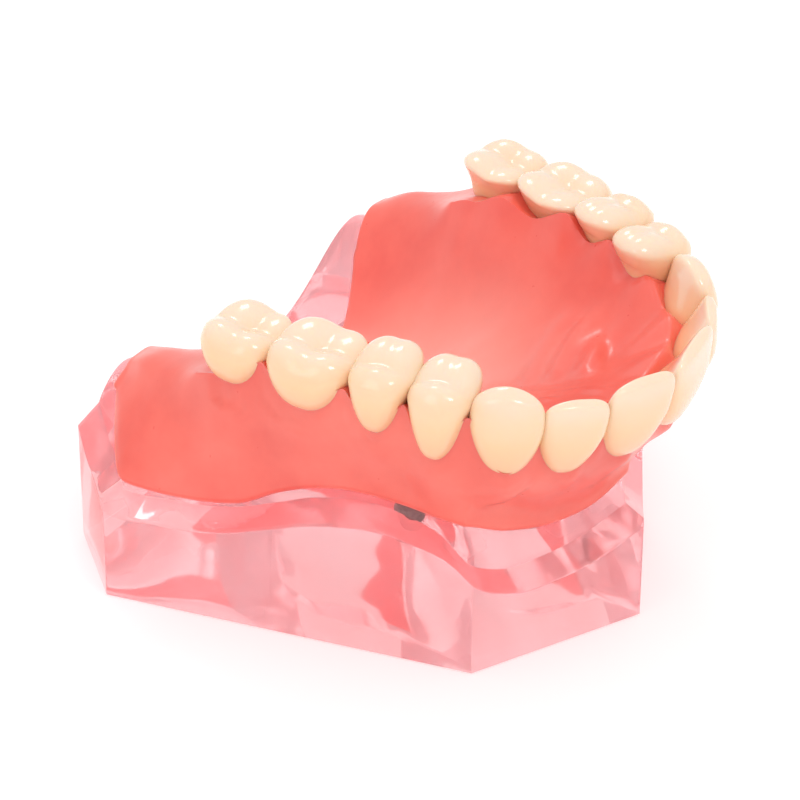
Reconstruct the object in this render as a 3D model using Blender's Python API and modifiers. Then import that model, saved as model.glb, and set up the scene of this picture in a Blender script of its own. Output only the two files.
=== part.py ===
"""Upper-jaw overdenture demonstration model, resting with its teeth upwards.

A clear jaw base holds four implants with ball abutments. A removable full denture with fourteen
teeth snaps on them with four housings and retention rings, and lifts off along +Z.
Sizes are in millimetres, and MM turns them into the scene's metres. The front of the mouth is -Y.
The origin is on the underside, at the middle of the base's outline.
"""

import math

import bmesh
import bpy
import numpy as np
from mathutils import Matrix

MM = 0.001
GAP = 0.3                # clearance between two neighbouring pieces
ARCH_X = 0.8             # the arch's midline sits this far from the middle of the trimmed base

# Base outline, from the front point to the back edge. The two canine corners aren't trimmed alike.
FRONT_Y = -29.5
CANINE_CORNER_RIGHT = (17.0, -17.2)     # teeth up, the patient's right is +X
CANINE_CORNER_LEFT = (-20.5, -21.5)
HEEL_CORNER = (35.0, 19.5)
BACK_CORNER = (28.0, 29.5)
BLOCK_BELOW = -5.0
PRISM_TOP = 40.0
GRID_CELLS = (32, 28)

# A station is an angle round the arch's centre in degrees up to 90, then 90 plus millimetres back.
FAN_Y = 12.0
LEDGE_WIDTH = 3.0
LEDGE_RISE = 1.1
VAULT_Z = 10.8
VAULT_POWER = 1.5
SLOPE_POWER = 0.8
SLOPE_LEAST = 3.6        # least width of the ridge's outer slope
CREST_RADIUS = ((0, 35.0), (15, 34.4), (29, 30.9), (42, 26.9), (64, 22.8), (90, 22.0), (98, 22.2),
                (108, 20.4))
CREST_Z = ((0, 20.8), (45, 21.0), (75, 22.2), (98, 22.0), (104, 20.8), (108, 19.8))
RIM_Z = ((0, 12.5), (8, 10.0), (16, 9.0), (26, 9.4), (31, 11.2), (35, 14.2), (42, 16.1), (59, 15.8),
         (70, 13.8), (80, 12.1), (92, 11.4), (97, 11.5), (100, 13.0), (105, 14.0), (108, 15.8))

# Denture base, by station.
STATION_END = 105.0
BORDER_Z = ((0, 17.0), (6, 14.7), (14, 13.8), (23, 14.6), (31, 16.4), (40, 17.9), (50, 18.5), (60, 17.8),
            (69, 16.2), (78, 13.9), (90, 12.9), (98, 13.6), (105, 16.0))
MARGIN_RADIUS = ((0, 42.3), (8, 42.2), (18, 41.0), (28, 39.8), (37, 36.6), (47, 32.9), (58, 30.4),
                 (74, 27.9), (90, 27.0), (97, 25.8), (105, 23.0))
MARGIN_Z = ((0, 24.4), (10, 24.3), (20, 25.2), (30, 26.2), (38, 27.3), (50, 29.0), (70, 29.8), (86, 29.8),
            (91, 28.2), (94, 26.8), (98, 25.4), (101, 24.6), (105, 22.2))
INNER_RADIUS = ((0, 38.6), (18, 37.2), (28, 33.0), (38, 27.4), (50, 22.6), (70, 18.6), (90, 18.0),
                (97, 18.5), (105, 19.0))
INNER_Z = ((0, 28.8), (20, 30.0), (30, 31.0), (50, 32.2), (64, 31.6), (80, 31.0), (88, 30.2), (93, 28.0),
           (97, 25.8), (101, 24.2), (105, 23.0))
BOWL_POWER = ((0, 1.2), (35, 1.5), (60, 2.7), (105, 3.4))
BORDER_ROLL = 1.1
LOFT_FLOOR = 8.0         # the loft reaches down to here before the jaw's own shape is cut from it
PALATE_THICKNESS = 2.0
RIDGE_THICKNESS = 2.9    # added to the plate over the ridge, to cover the housings
PAD_START = 74.0         # station where that extra fades out towards the pads
PAD_LENGTH = 22.0
RIDGE_WIDTH = 7.0
PALATE_END_Y = 19.0
PALATE_END_SWEEP = 8.0
PALATE_END_X = 18.0
DISTAL_START = 97.0
DISTAL_SHRINK = 0.55
STATION_STEPS = 21
FLANGE_STEPS = 4
TABLE_STEPS = 2
BOWL_STEPS = 7
PLATE_BLEND = 0.8

# Tooth contact points along the right half of the arch, front to back.
CONTACTS = ((0, -31.7), (8.5, -29.4), (14.0, -25.3), (17.7, -18.7), (19.5, -12.1), (21.3, -5.5),
            (22.8, 4.2), (23.3, 12.9))
MIDLINE_X = -0.8         # the two central incisors meet this far from the arch's middle
TOOTH_GAP = 0.12
TOOTH_ROOT = 1.3
TOOTH_SEGMENTS = 16
TOOTH_RINGS = 9
SOCKET_OFFSET = 0.3

# Implants and attachments.
IMPLANT_SPOTS = {"front_right": (8.6, -16.6), "rear_right": (14.8, -8.2), "front_left": (-7.8, -19.2),
                 "rear_left": (-16.6, -10.0)}
IMPLANT_RADIUS = 1.875
IMPLANT_TOP = 20.0
IMPLANT_APEX = 12.4
THREAD_PITCH = 1.3
THREAD_DEPTH = 0.25
TIP_TAPER = 0.86         # radius at the tip, as a share of the full radius
COLLAR_BAND = 0.8        # smooth band above the thread
WELL_RADIUS = 1.1
WELL_DEPTH = 4.0
SHANK_RADIUS = 0.8
SHANK_LENGTH = 3.5
COLLAR_RADIUS = 1.8
COLLAR_HEIGHT = 0.5
BALL_Z = 22.0
BALL_RADIUS = 1.1
NECK_RADIUS = 0.75
BALL_STEPS = 6
RING_BORE = 1.2
RING_RADIUS = 1.75
RING_Z = 21.9
RING_STRETCH = 1.6       # the ring's section is this much taller than it is wide
RING_STEPS = 8
HOUSING_BORE = 2.0
HOUSING_RADIUS = 2.35
HOUSING_BOTTOM = 21.2
HOUSING_TOP = 23.8
HOUSING_WALL = 0.45
HOUSING_GROOVE = 0.18
TURN_STEPS = 14

CLEAR_PINK = (0.95, 0.55, 0.62)
CORAL = (0.90, 0.21, 0.17)
IVORY = (0.93, 0.76, 0.52)
TITANIUM = (0.42, 0.41, 0.42)
STEEL = (0.62, 0.62, 0.64)
BLACK_RUBBER = (0.05, 0.05, 0.055)

# Crowns. Depth is outer to inner, height runs from the outer neck to the highest point, neck and edge are
# shares of the full width and depth, lean tips the crown outwards, rise is how much higher the inner neck
# sits, shoulder is the widest level, sink is how far the neck sits below the gum line, and a small corner
# makes a square top. A taper above 1 narrows the crown close under its top, below 1 near its neck. Slope is
# how steeply the cusps fall. A cusp is (across, outwards, how far below the highest point).
CROWN_SIZES = ("depth", "height", "neck", "edge", "lean", "rise", "shoulder", "sink", "corner", "taper",
               "slope")
CROWNS = {
    "central_incisor": (6.8, 12.9, 0.54, 0.24, 17, 5.0, 0.64, 2.0, 0.24, 0.75, 1.2),
    "lateral_incisor": (6.4, 11.9, 0.50, 0.24, 14, 5.0, 0.64, 2.3, 0.26, 0.8, 1.2),
    "canine": (7.6, 11.9, 0.48, 0.36, 4, 5.0, 0.64, 2.0, 0.32, 0.75, 1.4),
    "premolar1": (9.6, 11.3, 0.52, 0.84, -3, 5.7, 0.72, 1.6, 0.32, 1.5, 2.3),
    "premolar2": (9.8, 9.7, 0.50, 0.84, -3, 4.3, 0.70, 1.1, 0.32, 1.15, 2.3),
    "molar1": (10.4, 7.8, 0.56, 0.86, -3, 1.8, 0.66, 1.5, 0.34, 0.9, 2.0),
    "molar2": (9.8, 7.2, 0.56, 0.86, -3, 1.4, 0.66, 2.3, 0.36, 0.9, 2.0),
}
CUSPS = {
    "central_incisor": ((0.6, 0.2, 0.0), (-0.1, 0.2, 0.0), (-0.65, 0.2, 0.35)),
    "lateral_incisor": ((0.6, 0.2, 0.0), (0.0, 0.2, 0.1), (-0.6, 0.2, 0.6)),
    "canine": ((0.0, 0.05, 0.0), (-0.75, 0.0, 1.3), (0.75, 0.0, 1.2)),
    "premolar1": ((-0.5, 0.62, 1.3), (0.0, 0.66, 0.9), (0.5, 0.62, 1.3), (-0.3, -0.45, 0.2),
                  (0.3, -0.45, 0.2)),
    "premolar2": ((-0.5, 0.62, 1.3), (0.0, 0.66, 1.0), (0.5, 0.62, 1.3), (-0.3, -0.45, 0.2),
                  (0.3, -0.45, 0.2)),
    "molar1": ((-0.5, 0.66, 0.2), (0.5, 0.66, 0.3), (-0.5, -0.6, 0.0), (0.5, -0.62, 0.4)),
    "molar2": ((-0.48, 0.66, 0.1), (0.48, 0.64, 0.4), (-0.44, -0.58, 0.0), (0.5, -0.6, 0.5)),
}
# Degrees the neck tips back along the row.
TILT = {"central_incisor": 3.0, "lateral_incisor": 7.0, "canine": 3.0}
ROUNDNESS = 0.82
ROOT_POWER = 0.45
LIFT_POWER = 0.42
CUSP_BLEND = 5.0
CUSP_SHARPNESS = 1.8
NECK_BULGE = 0.92        # outer surface at the neck, as a share of half the depth
BELLY = 0.18             # how much further the outer surface swells
EDGE_PULL = 0.24         # how far it comes back in at the biting edge
NECK_TUCK = 0.35         # how far the outer surface turns in at the neck
TUCK_SPAN = 0.25         # up to this share of the height
ROOT_TUCK = 0.5          # and how much further at the root end
INNER_FULLNESS = 0.8     # how much of the taper the inner side is spared


def along(keys, station):
    """A smooth curve through (station, value) keys."""
    places = np.array([k[0] for k in keys], float)
    values = np.array([k[1] for k in keys], float)
    slopes = np.gradient(values, places)
    s = np.clip(np.abs(station), places[0], places[-1])
    i = np.clip(np.searchsorted(places, s, side="right") - 1, 0, len(places) - 2)
    h = places[i + 1] - places[i]
    t = (s - places[i]) / h
    rise = t * t * (3 - 2 * t)
    start = t * (1 - t) ** 2 * h * slopes[i]
    finish = t * t * (t - 1) * h * slopes[i + 1]
    return values[i] * (1 - rise) + values[i + 1] * rise + start + finish


def ease(t):
    """0 to 1 with flat ends."""
    t = np.clip(t, 0, 1)
    return t * t * (3 - 2 * t)


def station_of(x, y):
    """Station and radius of points given in the arch's own frame."""
    ahead = FAN_Y - y
    angle = np.degrees(np.arctan2(np.abs(x), np.maximum(ahead, 1e-9)))
    behind = ahead <= 0
    station = np.where(behind, 90 + y - FAN_Y, angle)
    return station, np.where(behind, np.abs(x), np.hypot(x, ahead))


def wall_radius(station, side):
    """Distance from the arch's centre line out to the trimmed wall, on the side with that sign of x."""
    q = np.radians(np.minimum(np.abs(station), 90))
    y = FAN_Y + np.maximum(np.abs(station) - 90, 0)
    cx = np.where(side > 0, CANINE_CORNER_RIGHT[0], -CANINE_CORNER_LEFT[0])
    cy = np.where(side > 0, CANINE_CORNER_RIGHT[1], CANINE_CORNER_LEFT[1])
    front_slope = (cy - FRONT_Y) / cx
    side_slope = (HEEL_CORNER[0] - cx) / (HEEL_CORNER[1] - cy)
    heel_slope = (BACK_CORNER[0] - HEEL_CORNER[0]) / (BACK_CORNER[1] - HEEL_CORNER[1])
    front = (FAN_Y - FRONT_Y) / np.maximum(np.cos(q) + front_slope * np.sin(q), 1e-9)
    flank = (cx + side_slope * (y - cy)) / (np.sin(q) + side_slope * np.cos(q))
    heel = HEEL_CORNER[0] + heel_slope * (y - HEEL_CORNER[1])
    return np.where(np.abs(station) < 90, np.minimum(front, flank), np.minimum(flank, heel))


def crest_radius(station, side):
    """Radius of the ridge's crest, kept inside the trimmed wall."""
    return np.minimum(along(CREST_RADIUS, station), wall_radius(station, side) - LEDGE_WIDTH - SLOPE_LEAST)


def jaw_top(x, y):
    """Height of the clear base's upper surface, in the arch's frame: palate, ridge, slope and ledge."""
    q, r = station_of(x, y)
    fold_r = wall_radius(q, x) - LEDGE_WIDTH
    crest_r = crest_radius(q, x)
    crest_z = along(CREST_Z, q)
    fold_z = along(RIM_Z, q) + LEDGE_RISE
    inward = np.clip(r / crest_r, 0, 1)
    palate = VAULT_Z + (crest_z - VAULT_Z) * np.sin(math.pi / 2 * inward ** VAULT_POWER) ** 2
    side = np.clip((r - crest_r) / (fold_r - crest_r), 0, 1)
    slope = fold_z + (crest_z - fold_z) * np.cos(math.pi / 2 * side) ** SLOPE_POWER
    ledge = fold_z - LEDGE_RISE * np.clip((r - fold_r) / LEDGE_WIDTH, 0, 1.2)
    return np.where(r < crest_r, palate, np.where(r < fold_r, slope, ledge))


def new_object(name, bm, collection, material=None):
    """A mesh object from a bmesh in millimetres."""
    bmesh.ops.scale(bm, vec=(MM, MM, MM), verts=bm.verts)
    mesh = bpy.data.meshes.new(name)
    bm.to_mesh(mesh)
    bm.free()
    obj = bpy.data.objects.new(name, mesh)
    collection.objects.link(obj)
    if material:
        mesh.materials.append(material)
    return obj


def make_cutter(obj):
    """Marks an object as a cutter, which isn't part of the model."""
    obj.hide_render = True
    obj.display_type = "WIRE"
    return obj


def boolean(target, cutter, operation="DIFFERENCE"):
    """Cuts target with cutter, or keeps what they share."""
    modifier = target.modifiers.new(operation.title(), "BOOLEAN")
    modifier.operation = operation
    modifier.object = cutter


def smooth(obj, angle=35):
    """Shades an object smooth, with its sharp edges kept."""
    obj.data.shade_smooth()
    obj.data.set_sharp_from_angle(angle=math.radians(angle))


def finish(name, color, roughness, metallic=0.0, transmission=0.0):
    """A Principled material."""
    material = bpy.data.materials.new(name)
    material.use_nodes = True
    shader = material.node_tree.nodes["Principled BSDF"]
    shader.inputs["Base Color"].default_value = (*color, 1.0)
    shader.inputs["Roughness"].default_value = roughness
    shader.inputs["Metallic"].default_value = metallic
    shader.inputs["Transmission Weight"].default_value = transmission
    return material


def outline_prism(collection):
    """The trimmed outline as a tall prism, used to cut the base's walls."""
    heels = [HEEL_CORNER, BACK_CORNER]
    mirrored = [(-x, y) for x, y in reversed(heels)]
    outline = [(0.0, FRONT_Y), CANINE_CORNER_RIGHT] + heels + mirrored + [CANINE_CORNER_LEFT]
    bm = bmesh.new()
    corners = [bm.verts.new((x, y, 0.0)) for x, y in outline]
    floor = bm.faces.new(corners)
    top = bmesh.ops.extrude_face_region(bm, geom=[floor])
    raised = [v for v in top["geom"] if isinstance(v, bmesh.types.BMVert)]
    bmesh.ops.translate(bm, vec=(0, 0, PRISM_TOP), verts=raised)
    bmesh.ops.recalc_face_normals(bm, faces=bm.faces)
    return make_cutter(new_object("outline_cutter", bm, collection))


def jaw_block(raise_by):
    """A block as wide as the base whose top follows jaw_top, raised by a clearance."""
    half_x = HEEL_CORNER[0] + 2
    half_y = BACK_CORNER[1] + 2
    bm = bmesh.new()
    bmesh.ops.create_grid(bm, x_segments=GRID_CELLS[0], y_segments=GRID_CELLS[1], size=1.0)
    for v in bm.verts:
        x, y = v.co.x * half_x, v.co.y * half_y
        v.co = (x, y, float(jaw_top(x - ARCH_X, y)) + raise_by)
    block = bmesh.ops.extrude_face_region(bm, geom=bm.faces[:])
    for v in block["geom"]:
        if isinstance(v, bmesh.types.BMVert):
            v.co.z = BLOCK_BELOW
    bmesh.ops.triangulate(bm, faces=bm.faces)
    bmesh.ops.recalc_face_normals(bm, faces=bm.faces)
    return bm


def clear_base(collection, cutters):
    """The clear cast jaw: a block topped by jaw_top, trimmed to its outline and bored for the implants."""
    resin = finish("clear_resin", CLEAR_PINK, 0.06, 0.0, 0.9)
    obj = new_object("clear_jaw_base", jaw_block(0.0), collection, resin)
    boolean(obj, outline_prism(cutters), "INTERSECT")
    for spot, (x, y) in IMPLANT_SPOTS.items():
        boolean(obj, bore_cutter(f"bore_{spot}", x, y, cutters))
    smooth(obj)
    return obj


def bore_cutter(name, x, y, collection):
    """A round cutter for one implant's hole, open at the top."""
    radius = IMPLANT_RADIUS + GAP
    low = IMPLANT_APEX - GAP
    bm = bmesh.new()
    bmesh.ops.create_cone(bm, cap_ends=True, segments=TURN_STEPS, radius1=radius, radius2=radius,
                          depth=PRISM_TOP - low, matrix=Matrix.Translation((x, y, (PRISM_TOP + low) / 2)))
    return make_cutter(new_object(name, bm, collection))


def turned(name, profile, x, y, collection, material):
    """A turned piece: a closed or axis-to-axis profile of (radius, z), top to bottom on its outer side."""
    bm = bmesh.new()
    verts = [bm.verts.new((r, 0.0, z)) for r, z in profile]
    for a, b in zip(verts, verts[1:]):
        bm.edges.new((a, b))
    if profile[0][0] > 0:
        bm.edges.new((verts[-1], verts[0]))
    obj = new_object(name, bm, collection, material)
    obj.location = (x * MM, y * MM, 0.0)
    screw = obj.modifiers.new("Turn", "SCREW")
    screw.steps = TURN_STEPS
    screw.render_steps = TURN_STEPS
    screw.use_merge_vertices = True
    screw.merge_threshold = 0.00001
    screw.use_smooth_shade = True
    return obj


def implant_profile():
    """A tapered threaded implant with a well for its abutment."""
    thread = []
    z = IMPLANT_TOP - COLLAR_BAND - THREAD_PITCH / 3
    while z > IMPLANT_APEX + THREAD_PITCH:
        taper = TIP_TAPER + (1 - TIP_TAPER) * (z - IMPLANT_APEX) / (IMPLANT_TOP - IMPLANT_APEX)
        thread.append((IMPLANT_RADIUS * taper, z))
        thread.append((IMPLANT_RADIUS * taper - THREAD_DEPTH, z - THREAD_PITCH / 2))
        z -= THREAD_PITCH
    well_floor = IMPLANT_TOP - WELL_DEPTH
    well = [(0.0, well_floor), (WELL_RADIUS, well_floor), (WELL_RADIUS, IMPLANT_TOP)]
    shoulder = [(IMPLANT_RADIUS, IMPLANT_TOP), (IMPLANT_RADIUS, IMPLANT_TOP - COLLAR_BAND)]
    apex = [(0.7 * IMPLANT_RADIUS, IMPLANT_APEX + 0.7), (0.4 * IMPLANT_RADIUS, IMPLANT_APEX + 0.1),
            (0.0, IMPLANT_APEX)]
    return well + shoulder + thread + apex


def ball_profile():
    """A ball abutment: ball, neck, collar and the shank in the implant's well."""
    neck_angle = math.asin(NECK_RADIUS / BALL_RADIUS)
    angles = [i / BALL_STEPS * (math.pi - neck_angle) for i in range(1, BALL_STEPS + 1)]
    ball = [(BALL_RADIUS * math.sin(a), BALL_Z + BALL_RADIUS * math.cos(a)) for a in angles]
    bevel = 0.2
    low = IMPLANT_TOP + GAP
    high = low + COLLAR_HEIGHT
    foot = IMPLANT_TOP - SHANK_LENGTH
    collar = [(NECK_RADIUS, high), (COLLAR_RADIUS - bevel, high), (COLLAR_RADIUS, high - bevel),
              (COLLAR_RADIUS, low)]
    shank = [(SHANK_RADIUS, low), (SHANK_RADIUS, foot), (0.0, foot)]
    return [(0.0, BALL_Z + BALL_RADIUS)] + ball + collar + shank


def housing_profile():
    """A metal cap, open below, with a groove round it that locks it in the denture."""
    ceiling = HOUSING_TOP - HOUSING_WALL
    middle = (HOUSING_TOP + HOUSING_BOTTOM) / 2
    waist = HOUSING_RADIUS - HOUSING_GROOVE
    bevel = 0.3
    cap = [(0.0, HOUSING_TOP), (HOUSING_RADIUS - bevel, HOUSING_TOP), (HOUSING_RADIUS, HOUSING_TOP - bevel)]
    groove = [(HOUSING_RADIUS, middle + bevel), (waist, middle + bevel / 3), (waist, middle - bevel / 3),
              (HOUSING_RADIUS, middle - bevel)]
    cup = [(HOUSING_RADIUS, HOUSING_BOTTOM), (HOUSING_BORE, HOUSING_BOTTOM), (HOUSING_BORE, ceiling),
           (0.0, ceiling)]
    return cap + groove + cup


def ring_profile():
    """An elastic ring with a round bore, inside the housing."""
    half = (RING_RADIUS - RING_BORE) / 2
    middle = RING_BORE + half
    angles = [math.tau * i / RING_STEPS for i in range(RING_STEPS)]
    return [(middle + half * math.cos(a), RING_Z - RING_STRETCH * half * math.sin(a)) for a in angles]


def attachments(collection):
    """Implants, ball abutments, housings and rings at each implant place."""
    titanium = finish("titanium", TITANIUM, 0.45, 1.0)
    steel = finish("steel", STEEL, 0.25, 1.0)
    rubber = finish("rubber", BLACK_RUBBER, 0.6)
    for spot, (x, y) in IMPLANT_SPOTS.items():
        turned(f"implant_{spot}", implant_profile(), x, y, collection, titanium)
        turned(f"ball_abutment_{spot}", ball_profile(), x, y, collection, steel)
        turned(f"housing_{spot}", housing_profile(), x, y, collection, steel)
        turned(f"retention_ring_{spot}", ring_profile(), x, y, collection, rubber)


def border_radius(station, side):
    """Radius where the denture's underside ends on the ridge's outer slope."""
    fold_r = wall_radius(station, side) - LEDGE_WIDTH
    crest_r = crest_radius(station, side)
    crest_z = along(CREST_Z, station)
    fold_z = along(RIM_Z, station) + LEDGE_RISE
    height = np.clip((along(BORDER_Z, station) - fold_z) / (crest_z - fold_z), 0.05, 0.95)
    reach = np.arccos(height ** (1 / SLOPE_POWER)) / (math.pi / 2)
    shrink = 1 - DISTAL_SHRINK * np.clip((station - DISTAL_START) / (STATION_END - DISTAL_START), 0, 1) ** 2
    return crest_r + (fold_r - crest_r) * reach * shrink


def place(station, side, r):
    """A point at a radius on a station. Behind the fan the sweep follows the denture's back edge."""
    if station <= 90:
        a = math.radians(station)
        return side * r * math.sin(a), FAN_Y - r * math.cos(a)
    end_y = PALATE_END_Y + PALATE_END_SWEEP * min(1.0, (r / PALATE_END_X) ** 2)
    return side * r, FAN_Y + (end_y - FAN_Y) * (station - 90) / (STATION_END - 90)


def cameo_height(x, y, station, r):
    """Height of the denture's polished inner surface at a radius inside the teeth."""
    inner_r = float(along(INNER_RADIUS, station))
    inner_z = float(along(INNER_Z, station))
    floor = VAULT_Z + PALATE_THICKNESS
    bowl = floor + (inner_z - floor) * (r / inner_r) ** float(along(BOWL_POWER, station))
    from_ridge = (r - float(crest_radius(station, x))) / RIDGE_WIDTH
    fade = 1 - float(ease((station - PAD_START) / PAD_LENGTH))
    plate = float(jaw_top(x, y)) + PALATE_THICKNESS + fade * RIDGE_THICKNESS * math.exp(-from_ridge ** 2)
    return PLATE_BLEND * float(np.logaddexp(bowl / PLATE_BLEND, plate / PLATE_BLEND))


def denture_section(station, side):
    """One section's outer points, from the outer border to the midline, and its under point."""
    border_r = float(border_radius(station, side))
    margin = (float(along(MARGIN_RADIUS, station)), float(along(MARGIN_Z, station)))
    inner = (float(along(INNER_RADIUS, station)), float(along(INNER_Z, station)))
    bx, by = place(station, side, border_r)
    border_z = float(jaw_top(bx, by)) + GAP
    roll = (border_r + BORDER_ROLL, border_z + BORDER_ROLL)
    corner = (border_r + 0.75 * BORDER_ROLL, border_z + 0.25 * BORDER_ROLL)
    outer = [(border_r, LOFT_FLOOR), (border_r, border_z), corner]
    for i in range(FLANGE_STEPS):
        t = i / FLANGE_STEPS
        ease = t * t * (3 - 2 * t)
        outer.append((roll[0] + (margin[0] - roll[0]) * ease, roll[1] + (margin[1] - roll[1]) * t))
    for i in range(TABLE_STEPS):
        t = i / TABLE_STEPS
        outer.append((margin[0] + (inner[0] - margin[0]) * t, margin[1] + (inner[1] - margin[1]) * t))
    points = [(*place(station, side, r), z) for r, z in outer]
    for i in range(BOWL_STEPS + 1):
        r = inner[0] * (1 - i / BOWL_STEPS)
        x, y = place(station, side, r)
        z = inner[1] if i == 0 else cameo_height(x, y, station, r)
        points.append((x, y, z))
    return points, [(*place(station, side, 0.0), LOFT_FLOOR)]


def denture_base(collection, cutters):
    """The denture's acrylic: a loft of sections round the arch, cut for its teeth and housings."""
    stations = [STATION_END * i / STATION_STEPS for i in range(STATION_STEPS, -1, -1)]
    sides = [(s, -1) for s in stations] + [(s, 1) for s in reversed(stations[:-1])]
    bm = bmesh.new()
    rows = []
    for station, side in sides:
        outer, under = denture_section(station, side)
        loop = outer + list(reversed(under))
        rows.append([bm.verts.new((x + ARCH_X, y, z)) for x, y, z in loop])
    split = len(outer) - 1
    skin_rows(bm, rows, split)
    close_back(bm, rows[0], rows[-1], split)
    bmesh.ops.remove_doubles(bm, verts=bm.verts, dist=0.001)
    bmesh.ops.dissolve_degenerate(bm, edges=bm.edges, dist=0.0001)
    bmesh.ops.triangulate(bm, faces=bm.faces)
    bmesh.ops.recalc_face_normals(bm, faces=bm.faces)
    obj = new_object("denture_base", bm, collection, finish("denture_acrylic", CORAL, 0.22))
    boolean(obj, make_cutter(new_object("jaw_cutter", jaw_block(GAP), cutters)))
    for spot, (x, y) in IMPLANT_SPOTS.items():
        boolean(obj, pocket_cutter(f"pocket_{spot}", x, y, cutters))
    return obj


def skin_rows(bm, rows, split):
    """Joins neighbouring sections by quads, except across the midline's doubled column at split."""
    count = len(rows[0])
    for a, b in zip(rows, rows[1:]):
        for i in range(count):
            j = (i + 1) % count
            if i != split:
                bm.faces.new((a[i], a[j], b[j], b[i]))


def close_back(bm, left, right, split):
    """Closes the denture's back edge, one strip on each side of the midline."""
    for row in (left, right):
        upper = row[:split + 1]
        lower = row[split + 1:] + row[:1]
        bridge(bm, upper[::-1], lower)


def bridge(bm, upper, lower):
    """Fills between two chains that share their last vertex, by equal fractions of their length."""
    i, j = 0, 0
    n, m = len(upper) - 1, len(lower) - 1
    while i < n or j < m:
        if j >= m or (i < n and (i + 1) / n <= (j + 1) / m):
            if upper[i + 1] is not lower[j]:
                bm.faces.new((upper[i], upper[i + 1], lower[j]))
            i += 1
        else:
            if lower[j + 1] is not upper[i]:
                bm.faces.new((upper[i], lower[j + 1], lower[j]))
            j += 1


def pocket_cutter(name, x, y, collection):
    """A round cutter for one housing's pocket in the denture's underside."""
    radius = HOUSING_RADIUS + GAP
    low = IMPLANT_APEX
    high = HOUSING_TOP + GAP
    bm = bmesh.new()
    bmesh.ops.create_cone(bm, cap_ends=True, segments=TURN_STEPS, radius1=radius, radius2=radius,
                          depth=high - low, matrix=Matrix.Translation((x, y, (high + low) / 2)))
    return make_cutter(new_object(name, bm, collection))


def crown_shape(kind, width):
    """All sizes of one kind of crown, by name."""
    shape = dict(zip(CROWN_SIZES, CROWNS[kind]))
    shape["half_width"] = width / 2
    shape["level"] = shape["height"] * shape["shoulder"]
    shape["cusps"] = CUSPS.get(kind, ())
    return shape


def crown_top(shape, x, y):
    """Height of the chewing surface: the highest of the cusps' slopes, softly joined."""
    if not shape["cusps"]:
        return np.full_like(x, shape["height"])
    across, out = x / shape["half_width"], y / (shape["depth"] / 2)
    total = np.zeros_like(x)
    for cx, cy, drop in shape["cusps"]:
        fall = shape["slope"] * np.hypot(across - cx, out - cy) ** CUSP_SHARPNESS
        total += np.exp(CUSP_BLEND * (shape["height"] - drop - fall))
    return np.log(total) / CUSP_BLEND


def crown_rings(shape):
    """A crown's rings and end points: x along the arch, y outwards, z up from the outer neck."""
    theta = np.arange(TOOTH_SEGMENTS) * math.tau / TOOTH_SEGMENTS
    cx = np.sign(np.cos(theta)) * np.abs(np.cos(theta)) ** ROUNDNESS
    cy = np.sign(np.sin(theta)) * np.abs(np.sin(theta)) ** ROUNDNESS
    angles = np.linspace(-math.pi / 2, math.pi / 2, TOOTH_RINGS + 2)
    rings = [crown_ring(shape, a, cx, cy) for a in angles[1:-1]]
    ends = [crown_ring(shape, a, cx[:1] * 0, cy[:1] * 0)[0] for a in (angles[0], angles[-1])]
    return rings, ends


def crown_ring(shape, a, cx, cy):
    """One ring of a crown. a runs from -90 degrees at the root end to 90 at the chewing surface."""
    height, depth, shoulder = shape["height"], shape["depth"], shape["level"]
    ring = abs(math.cos(a)) ** (ROOT_POWER if a < 0 else shape["corner"])
    lift = math.sin(a) ** LIFT_POWER if a > 0 else math.sin(a)
    level = shoulder + (height - shoulder) * lift if a > 0 else shoulder + (shoulder + TOOTH_ROOT) * lift
    t = min(max(level / height, 0.0), 1.0)
    low = min(max(level / shoulder, 0.0), 1.0)
    share = shape["neck"] + (1 - shape["neck"]) * low ** shape["taper"]
    wide = shape["half_width"] * (share + (1 - share) * INNER_FULLNESS * (1 - cy) / 2)
    outer = depth / 2 * (NECK_BULGE + BELLY * math.sin(math.pi * t) - EDGE_PULL * t * t)
    thick = depth * (NECK_BULGE + (shape["edge"] - NECK_BULGE) * t ** 1.25)
    tuck = NECK_TUCK * max(1 - t / TUCK_SPAN, 0.0) ** 2 + ROOT_TUCK * max(-math.sin(a), 0.0)
    outer -= tuck
    thick -= 2 * tuck
    x = cx * ring * wide
    y = outer - thick / 2 + cy * ring * thick / 2
    z = np.full_like(x, level)
    if a > 0:
        z = shoulder + (crown_top(shape, x, y) - shoulder) * lift
    rise = shape["rise"] * (depth / 2 - y) / depth * max(1 - t / shape["shoulder"], 0.0)
    return np.stack([x, y, z + rise], axis=-1)


def crown_mesh(kind, width):
    """A closed crown as a bmesh in its own frame."""
    points, ends = crown_rings(crown_shape(kind, width))
    bm = bmesh.new()
    rings = [[bm.verts.new(p) for p in ring] for ring in points]
    low, high = bm.verts.new(ends[0]), bm.verts.new(ends[1])
    for i in range(TOOTH_SEGMENTS):
        j = (i + 1) % TOOTH_SEGMENTS
        bm.faces.new((low, rings[0][j], rings[0][i]))
        bm.faces.new((high, rings[-1][i], rings[-1][j]))
        for a, b in zip(rings, rings[1:]):
            bm.faces.new((a[i], a[j], b[j], b[i]))
    bmesh.ops.triangulate(bm, faces=bm.faces)
    bmesh.ops.recalc_face_normals(bm, faces=bm.faces)
    return bm


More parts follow.
